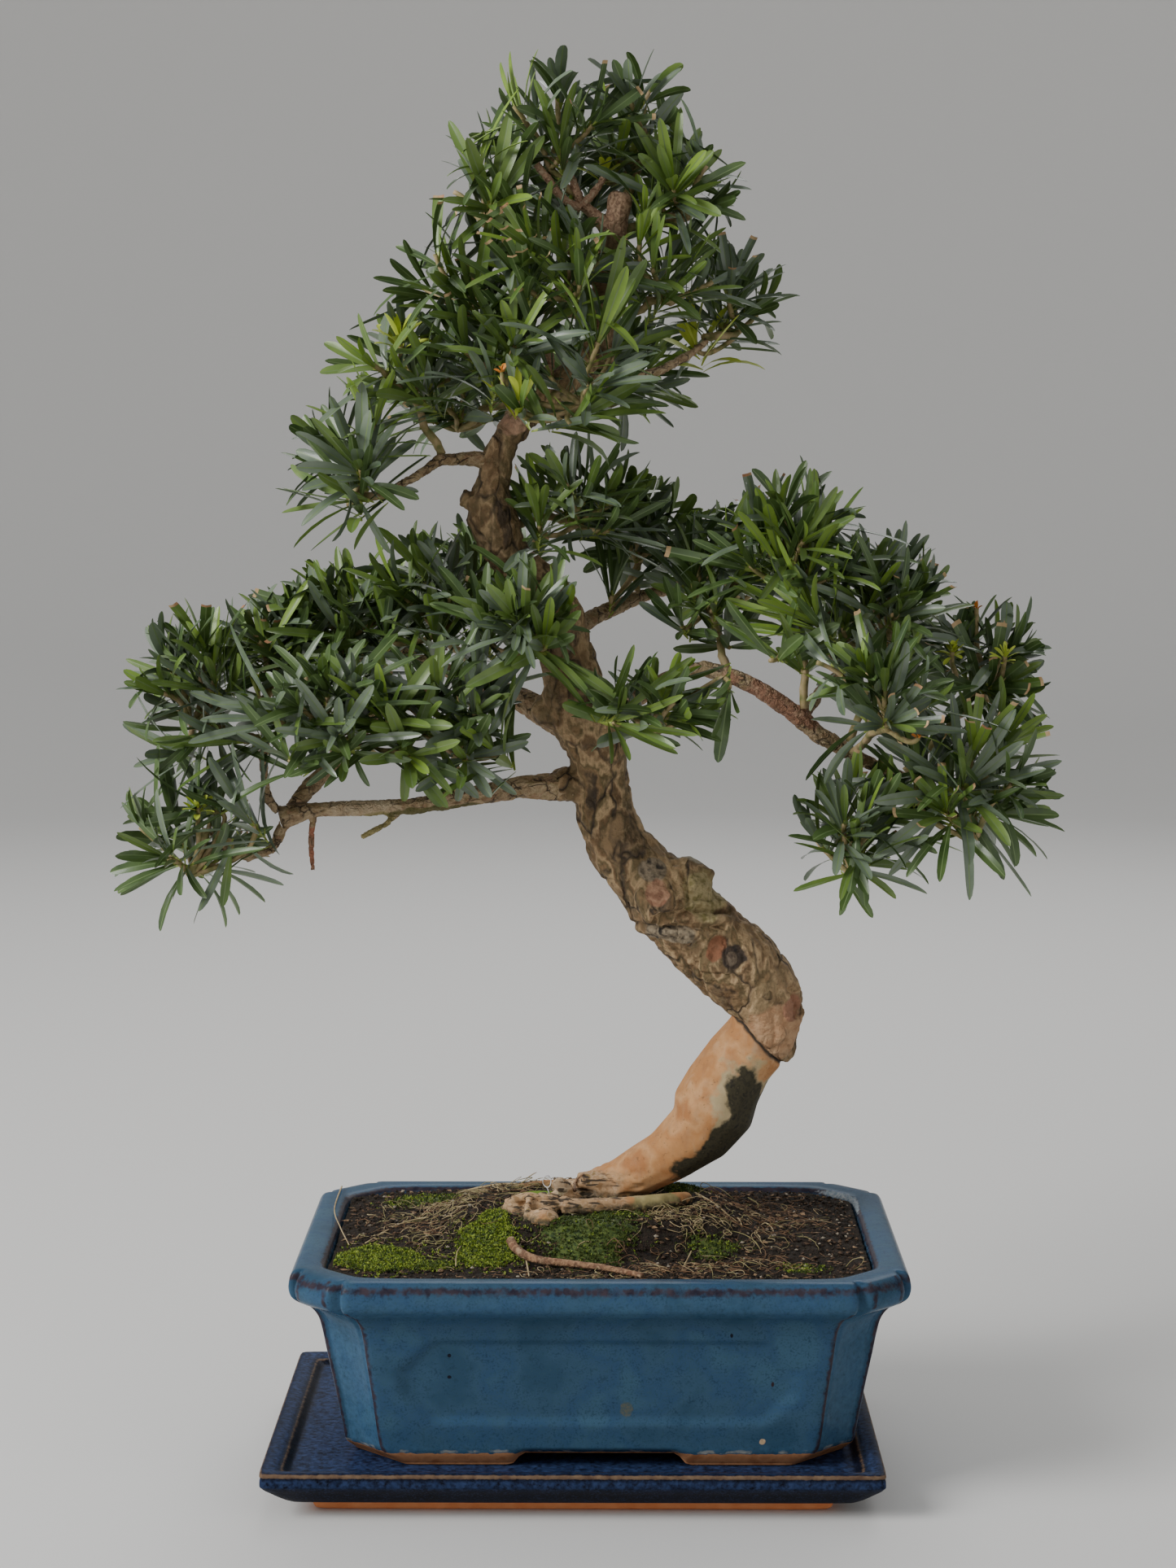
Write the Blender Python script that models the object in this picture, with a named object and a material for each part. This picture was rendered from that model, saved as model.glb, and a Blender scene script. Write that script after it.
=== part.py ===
"""A podocarpus bonsai: one leaning, S-shaped trunk with its boughs and masses of strap leaves, in a
glazed rectangular pot that stands on a glazed drip tray. Metres, +Z up. The origin is on the tray's
flat underside, in the middle of its width, +X is to the right of the show side and -Y points to the
viewer."""

import math
import random

import bmesh
import bpy
import numpy as np
from mathutils import Matrix, Vector

# The gap that two pieces in contact keep
FIT = 0.0003

# Drip tray
TRAY_MIDDLE = Vector((0.0, 0.0077))
TRAY_HALF = Vector((0.130, 0.0915))
TRAY_HEIGHT = 0.0207
TRAY_FOOT_HALF = Vector((0.1091, 0.0737))
TRAY_FOOT_HEIGHT = 0.0044
TRAY_LIP_HEIGHT = 0.0059
TRAY_FLOOR = 0.0170
TRAY_CORNER = 0.0020
TRAY_FOOT_STEP = Vector((0.009, 0.008))

# The tray's flaring side, its lip and the flange that slopes to the groove round the floor: how far
# inside the edge each ring lies, and its height
TRAY_LIP = TRAY_HEIGHT - TRAY_LIP_HEIGHT
TRAY_PROFILE = (
    (0.0030, TRAY_LIP - 0.0030),
    (0.0006, TRAY_LIP),
    (0.0000, TRAY_LIP + 0.0012),
    (0.0000, TRAY_HEIGHT - 0.0010),
    (0.0008, TRAY_HEIGHT),
    (0.0022, TRAY_HEIGHT),
    (0.0090, TRAY_HEIGHT - 0.0018),
    (0.0102, TRAY_HEIGHT - 0.0030),
    (0.0115, TRAY_FLOOR + 0.0004),
    (0.0130, TRAY_FLOOR),
)

# Pot, which stands a little right of and behind the tray's middle
POT_MIDDLE = Vector((0.0111, 0.0106))
POT_HALF = Vector((0.130, 0.0959))
POT_TOP = 0.1012
POT_CORNER = 0.0235
POT_FOOT_BOTTOM = TRAY_FLOOR + FIT
POT_UNDERSIDE = 0.0225
POT_FLOOR = 0.0295
POT_WALL = 0.0080
RIM_WIDTH = 0.0130
RIM_ROUND = 0.0015
POT_NECK = 0.0930
POT_WAISTS = (0.0760, 0.0560)
FOOT_GAP_FRONT = 0.069
FOOT_GAP_SIDE = 0.046
FOOT_SLANT = 0.006
FOOT_RIM = 0.016
DRAIN_RADIUS = 0.007
DRAIN_SIDES = 12
DRAIN_PLACE = 0.052
PANEL_DEPTH = 0.0012
PANEL_CLEAR = 0.012
PANEL_LOW, PANEL_HIGH = 0.0376, 0.0732
PANEL_FRONT_HALF = 0.082
PANEL_SIDE_HALF = 0.048
PANEL_CORNER = 0.013

# The pot's outer shape from the foot up: height, how far it lies inside the rim's edge, the depth
# of the groove at each end of a cut corner, and how far the cut corner hollows in between them
POT_PROFILE = (
    (POT_FOOT_BOTTOM, 0.0247, 0.0006, 0.0008),
    (0.0231, 0.0226, 0.0010, 0.0018),
    (0.0300, 0.0213, 0.0010, 0.0024),
    (0.0486, 0.0180, 0.0010, 0.0026),
    (0.0631, 0.0152, 0.0010, 0.0026),
    (0.0725, 0.0135, 0.0012, 0.0024),
    (0.0790, 0.0118, 0.0016, 0.0016),
    (0.0835, 0.0090, 0.0022, 0.0006),
    (0.0862, 0.0045, 0.0028, -0.0004),
    (0.0888, 0.0010, 0.0030, -0.0012),
    (0.0942, 0.0000, 0.0030, -0.0014),
    (0.0990, 0.0002, 0.0028, -0.0012),
    (POT_TOP, 0.0020, 0.0020, -0.0008),
)

# Soil: a mound with a flat crown, where the roots lie
SOIL_EDGE = 0.0970
SOIL_CROWN = 0.1100
SOIL_STEPS = (1.0, 0.93, 0.84, 0.74, 0.65, 0.58)
MOSS_THICKNESS = 0.0022
MOSS_LIFT = 0.0013
MOSS_SIDES = 12

# Cushions of moss: middle, half-sizes and turn
MOSS = {
    "moss_left": ((-0.073, -0.044), (0.027, 0.011), -0.55),
    "moss_front": ((-0.041, -0.034), (0.017, 0.016), 0.0),
}

# A fallen twig: middles with radii
FALLEN_TWIG = (
    (-0.016, -0.042, 0.0019), (0.000, -0.049, 0.0018), (0.016, -0.053, 0.0016), (0.031, -0.060, 0.0012),
)
FALLEN_LIFT = 0.0005

# Trunk: middle of the wood and its radius, from the root flare to the cut tip
TRUNK = (
    (-0.004, 0.040, 0.097, 0.0165),
    (0.009, 0.038, 0.1075, 0.0130),
    (0.0215, 0.036, 0.1170, 0.0105),
    (0.040, 0.034, 0.128, 0.0123),
    (0.0555, 0.031, 0.1405, 0.0157),
    (0.061, 0.029, 0.151, 0.0188),
    (0.0655, 0.028, 0.162, 0.0174),
    (0.073, 0.027, 0.174, 0.0160),
    (0.082, 0.025, 0.185, 0.0157),
    (0.0845, 0.023, 0.195, 0.0153),
    (0.080, 0.022, 0.206, 0.0170),
    (0.0715, 0.020, 0.2165, 0.0186),
    (0.0595, 0.019, 0.2265, 0.0176),
    (0.051, 0.017, 0.235, 0.0168),
    (0.0395, 0.015, 0.2455, 0.0162),
    (0.0285, 0.013, 0.2595, 0.0143),
    (0.0185, 0.012, 0.271, 0.0129),
    (0.013, 0.010, 0.285, 0.0116),
    (0.012, 0.008, 0.299, 0.0109),
    (0.010, 0.006, 0.312, 0.0119),
    (0.005, 0.004, 0.325, 0.0140),
    (0.000, 0.003, 0.338, 0.0132),
    (-0.003, 0.002, 0.352, 0.0112),
    (-0.006, 0.001, 0.370, 0.0101),
    (-0.014, 0.000, 0.384, 0.0087),
    (-0.026, 0.000, 0.394, 0.0080),
    (-0.031, -0.002, 0.404, 0.0092),
    (-0.035, -0.003, 0.414, 0.0103),
    (-0.035, -0.004, 0.425, 0.0072),
    (-0.032, -0.005, 0.439, 0.0055),
    (-0.026, -0.006, 0.451, 0.0050),
    (-0.014, -0.007, 0.462, 0.0053),
    (0.000, -0.008, 0.473, 0.0050),
    (0.010, -0.009, 0.485, 0.0052),
    (0.013, -0.010, 0.501, 0.0045),
    (0.014, -0.010, 0.517, 0.0044),
    (0.017, -0.011, 0.532, 0.0044),
    (0.020, -0.012, 0.547, 0.0043),
)
TRUNK_SIDES = 12

# Straight pieces between two stations of a limb, and of the thin fallen twig
LIMB_STEPS = 1
FALLEN_STEPS = 3

# Swellings that are part of the trunk: middle and half-sizes
BURLS = (
    ((0.0485, 0.011, 0.2545), (0.0130, 0.0130, 0.0125)),
    ((0.036, 0.004, 0.249), (0.0130, 0.0125, 0.0110)),
    ((0.0675, 0.005, 0.2220), (0.0072, 0.0065, 0.0072)),
    ((0.088, 0.020, 0.1885), (0.0110, 0.0130, 0.0105)),
    ((-0.001, 0.007, 0.298), (0.0120, 0.0095, 0.0085)),
    ((-0.010, 0.006, 0.330), (0.0100, 0.0100, 0.0080)),
    ((0.011, -0.008, 0.482), (0.0072, 0.0070, 0.0060)),
    ((-0.0255, 0.003, 0.1110), (0.0068, 0.0095, 0.0065)),
    ((-0.0130, -0.014, 0.1105), (0.0074, 0.0090, 0.0056)),
    ((-0.0155, 0.001, 0.1115), (0.0095, 0.0125, 0.0066)),
)
BURL_TILT = 0.37

# Roots and cut stubs that are part of the trunk, each a run of middles with radii
TRUNK_SPURS = (
    ((-0.031, 0.002, 0.1115, 0.0020), (-0.0265, 0.000, 0.1170, 0.0021), (-0.0200, -0.001, 0.1185, 0.0023),
     (-0.012, 0.000, 0.1170, 0.0025), (-0.002, 0.002, 0.1130, 0.0029), (0.018, 0.0065, 0.1122, 0.0029),
     (0.036, 0.0125, 0.1122, 0.0029), (0.050, 0.025, 0.1112, 0.0020)),
    ((-0.0195, -0.0015, 0.1183, 0.0018), (-0.0205, -0.0110, 0.1140, 0.0017),
     (-0.0215, -0.0140, 0.1095, 0.0015)),
    ((0.012, 0.038, 0.1105, 0.0070), (-0.004, 0.028, 0.1110, 0.0050), (-0.0155, 0.008, 0.1115, 0.0046),
     (-0.0165, -0.003, 0.1115, 0.0040)),
    ((0.010, 0.042, 0.1095, 0.0070), (-0.014, 0.052, 0.1100, 0.0034), (-0.034, 0.048, 0.1095, 0.0018)),
    ((0.001, 0.022, 0.1095, 0.0040), (-0.0045, 0.019, 0.1165, 0.0038), (-0.0085, 0.018, 0.1215, 0.0030)),
    ((0.016, 0.033, 0.1150, 0.0075), (0.0015, 0.028, 0.1190, 0.0042)),
    ((-0.032, -0.003, 0.416, 0.0050), (-0.0475, -0.006, 0.421, 0.0034)),
    ((-0.024, -0.005, 0.448, 0.0045), (-0.022, -0.014, 0.456, 0.0040)),
)

# Boughs: the limb that carries each one, then middles with radii from the limb out. A bough's first
# point lies inside its carrier, which it is cut clear of
BOUGHS = {
    "bough_left": ("trunk", (
        (0.006, 0.007, 0.298, 0.0075), (-0.006, 0.005, 0.297, 0.0066), (-0.024, 0.002, 0.297, 0.0053),
        (-0.051, -0.006, 0.293, 0.0045), (-0.070, -0.012, 0.290, 0.0039), (-0.092, -0.018, 0.290, 0.0036),
        (-0.109, -0.022, 0.290, 0.0036), (-0.122, -0.025, 0.287, 0.0052))),
    "bough_left_rise": ("bough_left", (
        (-0.1245, -0.0265, 0.2895, 0.0021), (-0.129, -0.027, 0.295, 0.0023), (-0.130, -0.028, 0.303, 0.0023),
        (-0.131, -0.030, 0.319, 0.0020))),
    "bough_left_drop": ("bough_left", (
        (-0.122, -0.0265, 0.2845, 0.0028), (-0.127, -0.030, 0.274, 0.0024), (-0.137, -0.034, 0.2705, 0.0021),
        (-0.146, -0.036, 0.2750, 0.0019), (-0.153, -0.038, 0.284, 0.0017))),
    "bough_left_back": ("bough_left", (
        (-0.121, -0.025, 0.288, 0.0036), (-0.113, -0.017, 0.298, 0.0041), (-0.103, -0.010, 0.308, 0.0041),
        (-0.090, 0.000, 0.323, 0.0034), (-0.076, 0.014, 0.338, 0.0026))),
    "bough_left_upper": ("trunk", (
        (0.002, 0.006, 0.322, 0.0085), (-0.012, 0.012, 0.328, 0.0070), (-0.024, 0.020, 0.334, 0.0056),
        (-0.042, 0.035, 0.340, 0.0042), (-0.064, 0.048, 0.347, 0.0031), (-0.084, 0.056, 0.355, 0.0025))),
    "bough_right": ("trunk", (
        (0.005, 0.004, 0.328, 0.0070), (0.020, 0.000, 0.333, 0.0052), (0.032, -0.004, 0.339, 0.0043),
        (0.043, -0.008, 0.346, 0.0040), (0.055, -0.010, 0.349, 0.0038), (0.069, -0.012, 0.345, 0.0039),
        (0.081, -0.012, 0.339, 0.0041), (0.095, -0.010, 0.329, 0.0045), (0.104, -0.008, 0.321, 0.0044),
        (0.119, -0.005, 0.312, 0.0034), (0.131, -0.003, 0.306, 0.0027), (0.144, -0.002, 0.301, 0.0022))),
    "bough_right_back": ("bough_right", (
        (0.096, -0.010, 0.328, 0.0036), (0.102, 0.006, 0.333, 0.0031), (0.108, 0.026, 0.338, 0.0027),
        (0.116, 0.044, 0.343, 0.0022))),
    "bough_arm_left": ("trunk", (
        (-0.034, -0.004, 0.436, 0.0046), (-0.046, -0.010, 0.438, 0.0034), (-0.056, -0.018, 0.437, 0.0027),
        (-0.066, -0.026, 0.430, 0.0022), (-0.076, -0.032, 0.425, 0.0018))),
    "bough_arm_right": ("trunk", (
        (0.006, -0.007, 0.470, 0.0034), (0.018, -0.004, 0.470, 0.0027), (0.037, 0.002, 0.475, 0.0023),
        (0.048, 0.010, 0.481, 0.0020), (0.057, 0.017, 0.488, 0.0018))),
    "bough_back_right": ("trunk", (
        (-0.004, 0.003, 0.362, 0.0052), (0.008, 0.022, 0.369, 0.0040), (0.028, 0.044, 0.377, 0.0032),
        (0.050, 0.062, 0.382, 0.0025))),
    "bough_back_left": ("trunk", (
        (-0.008, 0.001, 0.374, 0.0048), (-0.014, 0.022, 0.380, 0.0037), (-0.024, 0.048, 0.384, 0.0029),
        (-0.034, 0.068, 0.384, 0.0023))),
    "bough_back_upper": ("trunk", (
        (-0.029, -0.005, 0.446, 0.0038), (-0.028, 0.012, 0.455, 0.0030), (-0.026, 0.030, 0.462, 0.0024))),
}
BOUGH_SIDES = 7
SPUR_SIDES = 6
TUBE_TURN = 0.3

# Stubs and knots fused to a bough: middles with radii
BOUGH_SPURS = {
    "bough_left": (
        ((-0.110, -0.021, 0.2915, 0.0022), (-0.1115, -0.0195, 0.277, 0.0017),
         (-0.111, -0.019, 0.263, 0.0015)),
        ((-0.072, -0.0125, 0.2895, 0.0020), (-0.080, -0.017, 0.283, 0.0016), (-0.090, -0.021, 0.278, 0.0016)),
        ((-0.118, -0.024, 0.288, 0.0045), (-0.124, -0.0255, 0.2865, 0.0058)),
    ),
}

# Masses of foliage: the limb each stem leaves and how far along it, the middle of the mass's space,
# its half-sizes, and how many shoots it has
MASSES = {
    "mass_apex_left": ("trunk", 0.965, (-0.010, -0.014, 0.574), (0.028, 0.032, 0.036), 4),
    "mass_apex_right": ("trunk", 0.985, (0.031, 0.002, 0.578), (0.020, 0.034, 0.032), 3),
    "mass_apex_right_low": ("trunk", 0.975, (0.048, -0.006, 0.548), (0.024, 0.034, 0.022), 3),
    "mass_apex_left_low": ("trunk", 0.94, (-0.038, -0.016, 0.548), (0.021, 0.034, 0.029), 3),
    "mass_back_top": ("trunk", 0.93, (0.000, 0.034, 0.538), (0.030, 0.030, 0.032), 3),
    "mass_upper_left": ("trunk", 0.90, (-0.050, -0.014, 0.510), (0.031, 0.034, 0.021), 3),
    "mass_upper_front": ("trunk", 0.905, (-0.004, -0.038, 0.517), (0.029, 0.028, 0.031), 4),
    "mass_upper_right": ("trunk", 0.90, (0.041, -0.014, 0.511), (0.027, 0.034, 0.019), 3),
    "mass_arm_right": ("bough_arm_right", 1.0, (0.071, 0.030, 0.504), (0.022, 0.032, 0.026), 3),
    "mass_shoulder_left": ("bough_arm_left", 0.40, (-0.071, -0.016, 0.476), (0.031, 0.036, 0.023), 4),
    "mass_shoulder_front": ("trunk", 0.835, (0.004, -0.044, 0.468), (0.036, 0.032, 0.021), 4),
    "mass_shoulder_middle": ("trunk", 0.80, (-0.030, -0.028, 0.483), (0.022, 0.032, 0.021), 3),
    "mass_arm_left": ("bough_arm_left", 1.0, (-0.093, -0.034, 0.433), (0.030, 0.032, 0.033), 4),
    "mass_back_upper_left": ("bough_back_upper", 0.90, (-0.052, 0.052, 0.462), (0.032, 0.032, 0.026), 3),
    "mass_back_upper_right": ("bough_back_upper", 1.0, (0.016, 0.054, 0.474), (0.034, 0.032, 0.028), 3),
    "mass_middle_right": ("trunk", 0.715, (0.002, 0.004, 0.421), (0.031, 0.034, 0.025), 4),
    "mass_left_far": ("bough_left_rise", 1.0, (-0.160, -0.030, 0.341), (0.025, 0.038, 0.034), 4),
    "mass_left_tip": ("bough_left_drop", 1.0, (-0.160, -0.042, 0.278), (0.035, 0.034, 0.031), 3),
    "mass_left_outer": ("bough_left_rise", 0.75, (-0.133, 0.016, 0.356), (0.024, 0.034, 0.025), 3),
    "mass_left_top": ("bough_left_back", 1.0, (-0.101, 0.018, 0.369), (0.027, 0.034, 0.026), 3),
    "mass_left_crown": ("bough_left_upper", 0.50, (-0.058, 0.000, 0.376), (0.028, 0.036, 0.030), 4),
    "mass_left_middle": ("bough_left_back", 0.45, (-0.102, -0.048, 0.333), (0.031, 0.034, 0.026), 4),
    "mass_left_low": ("bough_left", 0.42, (-0.050, -0.036, 0.328), (0.030, 0.034, 0.030), 4),
    "mass_left_trunk": ("trunk", 0.63, (-0.020, -0.034, 0.368), (0.023, 0.028, 0.027), 3),
    "mass_back_left": ("bough_left_upper", 1.0, (-0.098, 0.088, 0.352), (0.038, 0.036, 0.028), 4),
    "mass_back_left_inner": ("bough_back_left", 1.0, (-0.040, 0.099, 0.380), (0.032, 0.034, 0.028), 3),
    "mass_right_inner": ("bough_right", 0.42, (0.058, 0.010, 0.388), (0.026, 0.036, 0.030), 4),
    "mass_right_top": ("bough_right", 0.66, (0.092, -0.018, 0.398), (0.028, 0.036, 0.037), 4),
    "mass_right_shoulder": ("bough_right", 0.80, (0.135, -0.006, 0.373), (0.026, 0.036, 0.032), 4),
    "mass_right_far": ("bough_right", 0.97, (0.180, 0.022, 0.347), (0.027, 0.038, 0.029), 4),
    "mass_right_tip": ("bough_right", 1.0, (0.169, -0.028, 0.297), (0.035, 0.040, 0.045), 4),
    "mass_right_low": ("bough_right", 0.90, (0.118, -0.030, 0.278), (0.024, 0.032, 0.035), 3),
    "mass_right_middle": ("bough_right", 0.82, (0.130, -0.052, 0.337), (0.027, 0.032, 0.024), 3),
    "mass_right_behind": ("bough_back_right", 0.60, (0.028, 0.044, 0.404), (0.024, 0.030, 0.026), 3),
    "mass_back_right": ("bough_right_back", 1.0, (0.134, 0.074, 0.352), (0.034, 0.034, 0.028), 4),
    "mass_back_right_inner": ("bough_back_right", 1.0, (0.072, 0.098, 0.384), (0.034, 0.034, 0.028), 3),
    "mass_front": ("trunk", 0.575, (0.032, -0.050, 0.333), (0.033, 0.030, 0.022), 4),
}

# Strap leaves: the longest, its greatest width and where along it, the shortest as a share of that,
# the room between the middles of two leaves, and how far and how often one turns to find its room
LEAF_LENGTH = 0.046
LEAF_WIDTH = 0.0090
LEAF_THICKNESS = 0.0015
LEAF_BROADEST = 0.42
LEAF_SHORTEST = 0.38
LEAF_APART = 0.0096
LEAF_TRIES = 5
LEAF_JITTER = 0.16

# A shoot is a twig that ends in whorls of three leaves, which lean away from it, and a leaf on its tip
WHORL_SPACING = 0.0030
WHORL_LEANS = (1.40, 0.85)
TIP_LEAN = 0.15
STEM_RADIUS = 0.0021
STEM_PIECES = 3
TWIG_RADIUS = 0.0014
TWIG_SIDES = 3
TWIG_SUNK = 0.0008
SHOOT_REACH = 0.42
GOLDEN_TURN = math.pi * (3 - math.sqrt(5))

# Room between a leaf and the next mass's space, as a share of a space, and between a leaf and a limb
SPACE_WALL = 0.035
LIMB_CLEARANCE = 0.0012


def clear_scene():
    for item in list(bpy.data.objects):
        bpy.data.objects.remove(item)


def finish_of(name, colour, roughness, coat=0.0):
    """A plain material of one colour."""
    made = bpy.data.materials.get(name)
    if made:
        return made
    made = bpy.data.materials.new(name)
    made.use_nodes = True
    shader = made.node_tree.nodes["Principled BSDF"]
    shader.inputs["Base Color"].default_value = (*colour, 1.0)
    shader.inputs["Roughness"].default_value = roughness
    shader.inputs["Metallic"].default_value = 0.0
    shader.inputs["Coat Weight"].default_value = coat
    return made


def object_of(name, build, material=None):
    """A new object whose closed mesh build(bmesh) makes."""
    shape = bmesh.new()
    build(shape)
    bmesh.ops.recalc_face_normals(shape, faces=shape.faces)
    mesh = bpy.data.meshes.new(name)
    shape.to_mesh(mesh)
    shape.free()
    made = bpy.data.objects.new(name, mesh)
    bpy.context.scene.collection.objects.link(made)
    if material:
        mesh.materials.append(material)
    return made


def loft(shape, rings):
    """Skins rings of equally many points, and closes the two ends with one face each."""
    rows = [[shape.verts.new(point) for point in ring] for ring in rings]
    count = len(rows[0])
    for low, high in zip(rows, rows[1:]):
        for i in range(count):
            j = (i + 1) % count
            shape.faces.new((low[i], low[j], high[j], high[i]))
    shape.faces.new(list(reversed(rows[0])))
    shape.faces.new(rows[-1])


def baked(target):
    """Applies a target's modifiers to its mesh."""
    graph = bpy.context.evaluated_depsgraph_get()
    mesh = bpy.data.meshes.new_from_object(target.evaluated_get(graph))
    old = target.data
    target.modifiers.clear()
    target.data = mesh
    bpy.data.meshes.remove(old)


def combine(target, others, operation):
    """Joins or cuts target by the others, applies it, and removes them."""
    group = bpy.data.collections.new("operands")
    for item in others:
        group.objects.link(item)
    modifier = target.modifiers.new("combine", "BOOLEAN")
    modifier.operation = operation
    modifier.operand_type = "COLLECTION"
    modifier.collection = group
    modifier.solver = "EXACT"
    baked(target)
    for item in others:
        bpy.data.objects.remove(item)
    bpy.data.collections.remove(group)


def keep_one_body(target):
    """Drops loose scraps and fills sealed hollows, so that one outer skin stays."""
    shape = bmesh.new()
    shape.from_mesh(target.data)
    left = set(shape.faces)
    bodies = []
    while left:
        first = left.pop()
        body, edge = {first}, [first]
        while edge:
            face = edge.pop()
            for line in face.edges:
                for other in line.link_faces:
                    if other in left:
                        left.remove(other)
                        body.add(other)
                        edge.append(other)
        bodies.append(body)
    if len(bodies) > 1:
        sizes = [sum(f.calc_center_median().dot(f.normal) * f.calc_area() for f in b) for b in bodies]
        best = bodies[max(range(len(bodies)), key=lambda i: sizes[i])]
        loose = [face for face in shape.faces if face not in best]
        bmesh.ops.delete(shape, geom=loose, context="FACES")
    shape.to_mesh(target.data)
    shape.free()


# Pot, tray and soil

def corner_outline(half, cut, height, middle=(0.0, 0.0), groove=0.0, hollow=0.0):
    """A rectangle with cut corners, seven points to a corner, anticlockwise from above."""
    depths = ((0.0, 0.0), (0.10, groove), (0.22, hollow * 0.5), (0.5, hollow), (0.78, hollow * 0.5),
              (0.90, groove), (1.0, 0.0))
    points = []
    for turn in range(4):
        along, across = (half[0], half[1]) if turn % 2 == 0 else (half[1], half[0])
        for share, depth in depths:
            x = along - cut * share - depth * math.sqrt(0.5)
            y = across - cut * (1 - share) - depth * math.sqrt(0.5)
            spun = Matrix.Rotation(turn * math.pi / 2, 2) @ Vector((x, y))
            points.append(Vector((spun.x + middle[0], spun.y + middle[1], height)))
    return points


def pot_ring(height, inset, groove=0.0, hollow=0.0):
    half = POT_HALF - Vector((inset, inset))
    return corner_outline(half, POT_CORNER - inset * 0.35, height, POT_MIDDLE, groove, hollow)


def outer_inset(height):
    """How far the pot's outer wall lies inside the rim's edge at a height."""
    for (low, a, *_), (high, b, *_) in zip(POT_PROFILE, POT_PROFILE[1:]):
        if low <= height <= high:
            return a + (b - a) * (height - low) / (high - low)
    return POT_PROFILE[-1][1]


def inner_profile(gap=0.0):
    """The pot's inside from the rim down, or with a gap what fits in it."""
    down = [(POT_TOP, RIM_WIDTH), (POT_TOP - RIM_ROUND, RIM_WIDTH + RIM_ROUND)]
    down.append((POT_NECK, RIM_WIDTH + 2 * RIM_ROUND))
    down += [(z, outer_inset(z) + POT_WALL) for z in (*POT_WAISTS, POT_FLOOR)]
    return [(z + (gap if z == POT_FLOOR else 0.0), inset + gap) for z, inset in down]


def prism(name, corners, start, end, axis):
    """A block with the given outline, from start to end along axis ("x", "y" or "z")."""
    order = {"x": (2, 0, 1), "y": (0, 2, 1), "z": (0, 1, 2)}[axis]
    rings = [[[(a, b, d)[i] for i in order] for a, b in corners] for d in (start, end)]
    return object_of(name, lambda shape: loft(shape, rings))


def make_tray():
    """The foot, then the tray's profile."""
    foot = TRAY_FOOT_HALF
    steps = [(foot, 0.0), (foot, TRAY_FOOT_HEIGHT), (foot + TRAY_FOOT_STEP, TRAY_FOOT_HEIGHT + 0.0012)]
    steps += [(TRAY_HALF - Vector((inset, inset)), height) for inset, height in TRAY_PROFILE]
    rings = [corner_outline(size, TRAY_CORNER, height, TRAY_MIDDLE)[::2] for size, height in steps]
    glaze = finish_of("tray_glaze", (0.02, 0.03, 0.08), 0.25, 0.6)
    return object_of("tray", lambda shape: loft(shape, rings), glaze)


def panel_cutter(face, half_width):
    """A shallow slab with cut corners, sunk into the sloping wall that faces -Y, +Y, -X or +X."""
    turn = {"front": 0, "right": 1, "back": 2, "left": 3}[face]
    low, high = outer_inset(PANEL_LOW), outer_inset(PANEL_HIGH)
    reach = POT_HALF.y if turn % 2 == 0 else POT_HALF.x
    outline = []
    for x, z in ((-1, -1), (1, -1), (1, 1), (-1, 1)):
        for first in (True, False):
            along = (first == (x * z > 0))
            outline.append((
                x * (half_width - (0.0 if along else PANEL_CORNER)),
                0.5 + z * (0.5 - (PANEL_CORNER / (PANEL_HIGH - PANEL_LOW) if along else 0.0)),
            ))
    rings = []
    for depth in (PANEL_CLEAR, -PANEL_DEPTH):
        ring = []
        for x, share in outline:
            z = PANEL_LOW + (PANEL_HIGH - PANEL_LOW) * share
            out = reach - (low + (high - low) * share) + depth
            spun = Matrix.Rotation(turn * math.pi / 2, 2) @ Vector((x, -out))
            ring.append(Vector((spun.x + POT_MIDDLE.x, spun.y + POT_MIDDLE.y, z)))
        rings.append(ring)
    return object_of("panel_" + face, lambda shape: loft(shape, rings))


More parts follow.
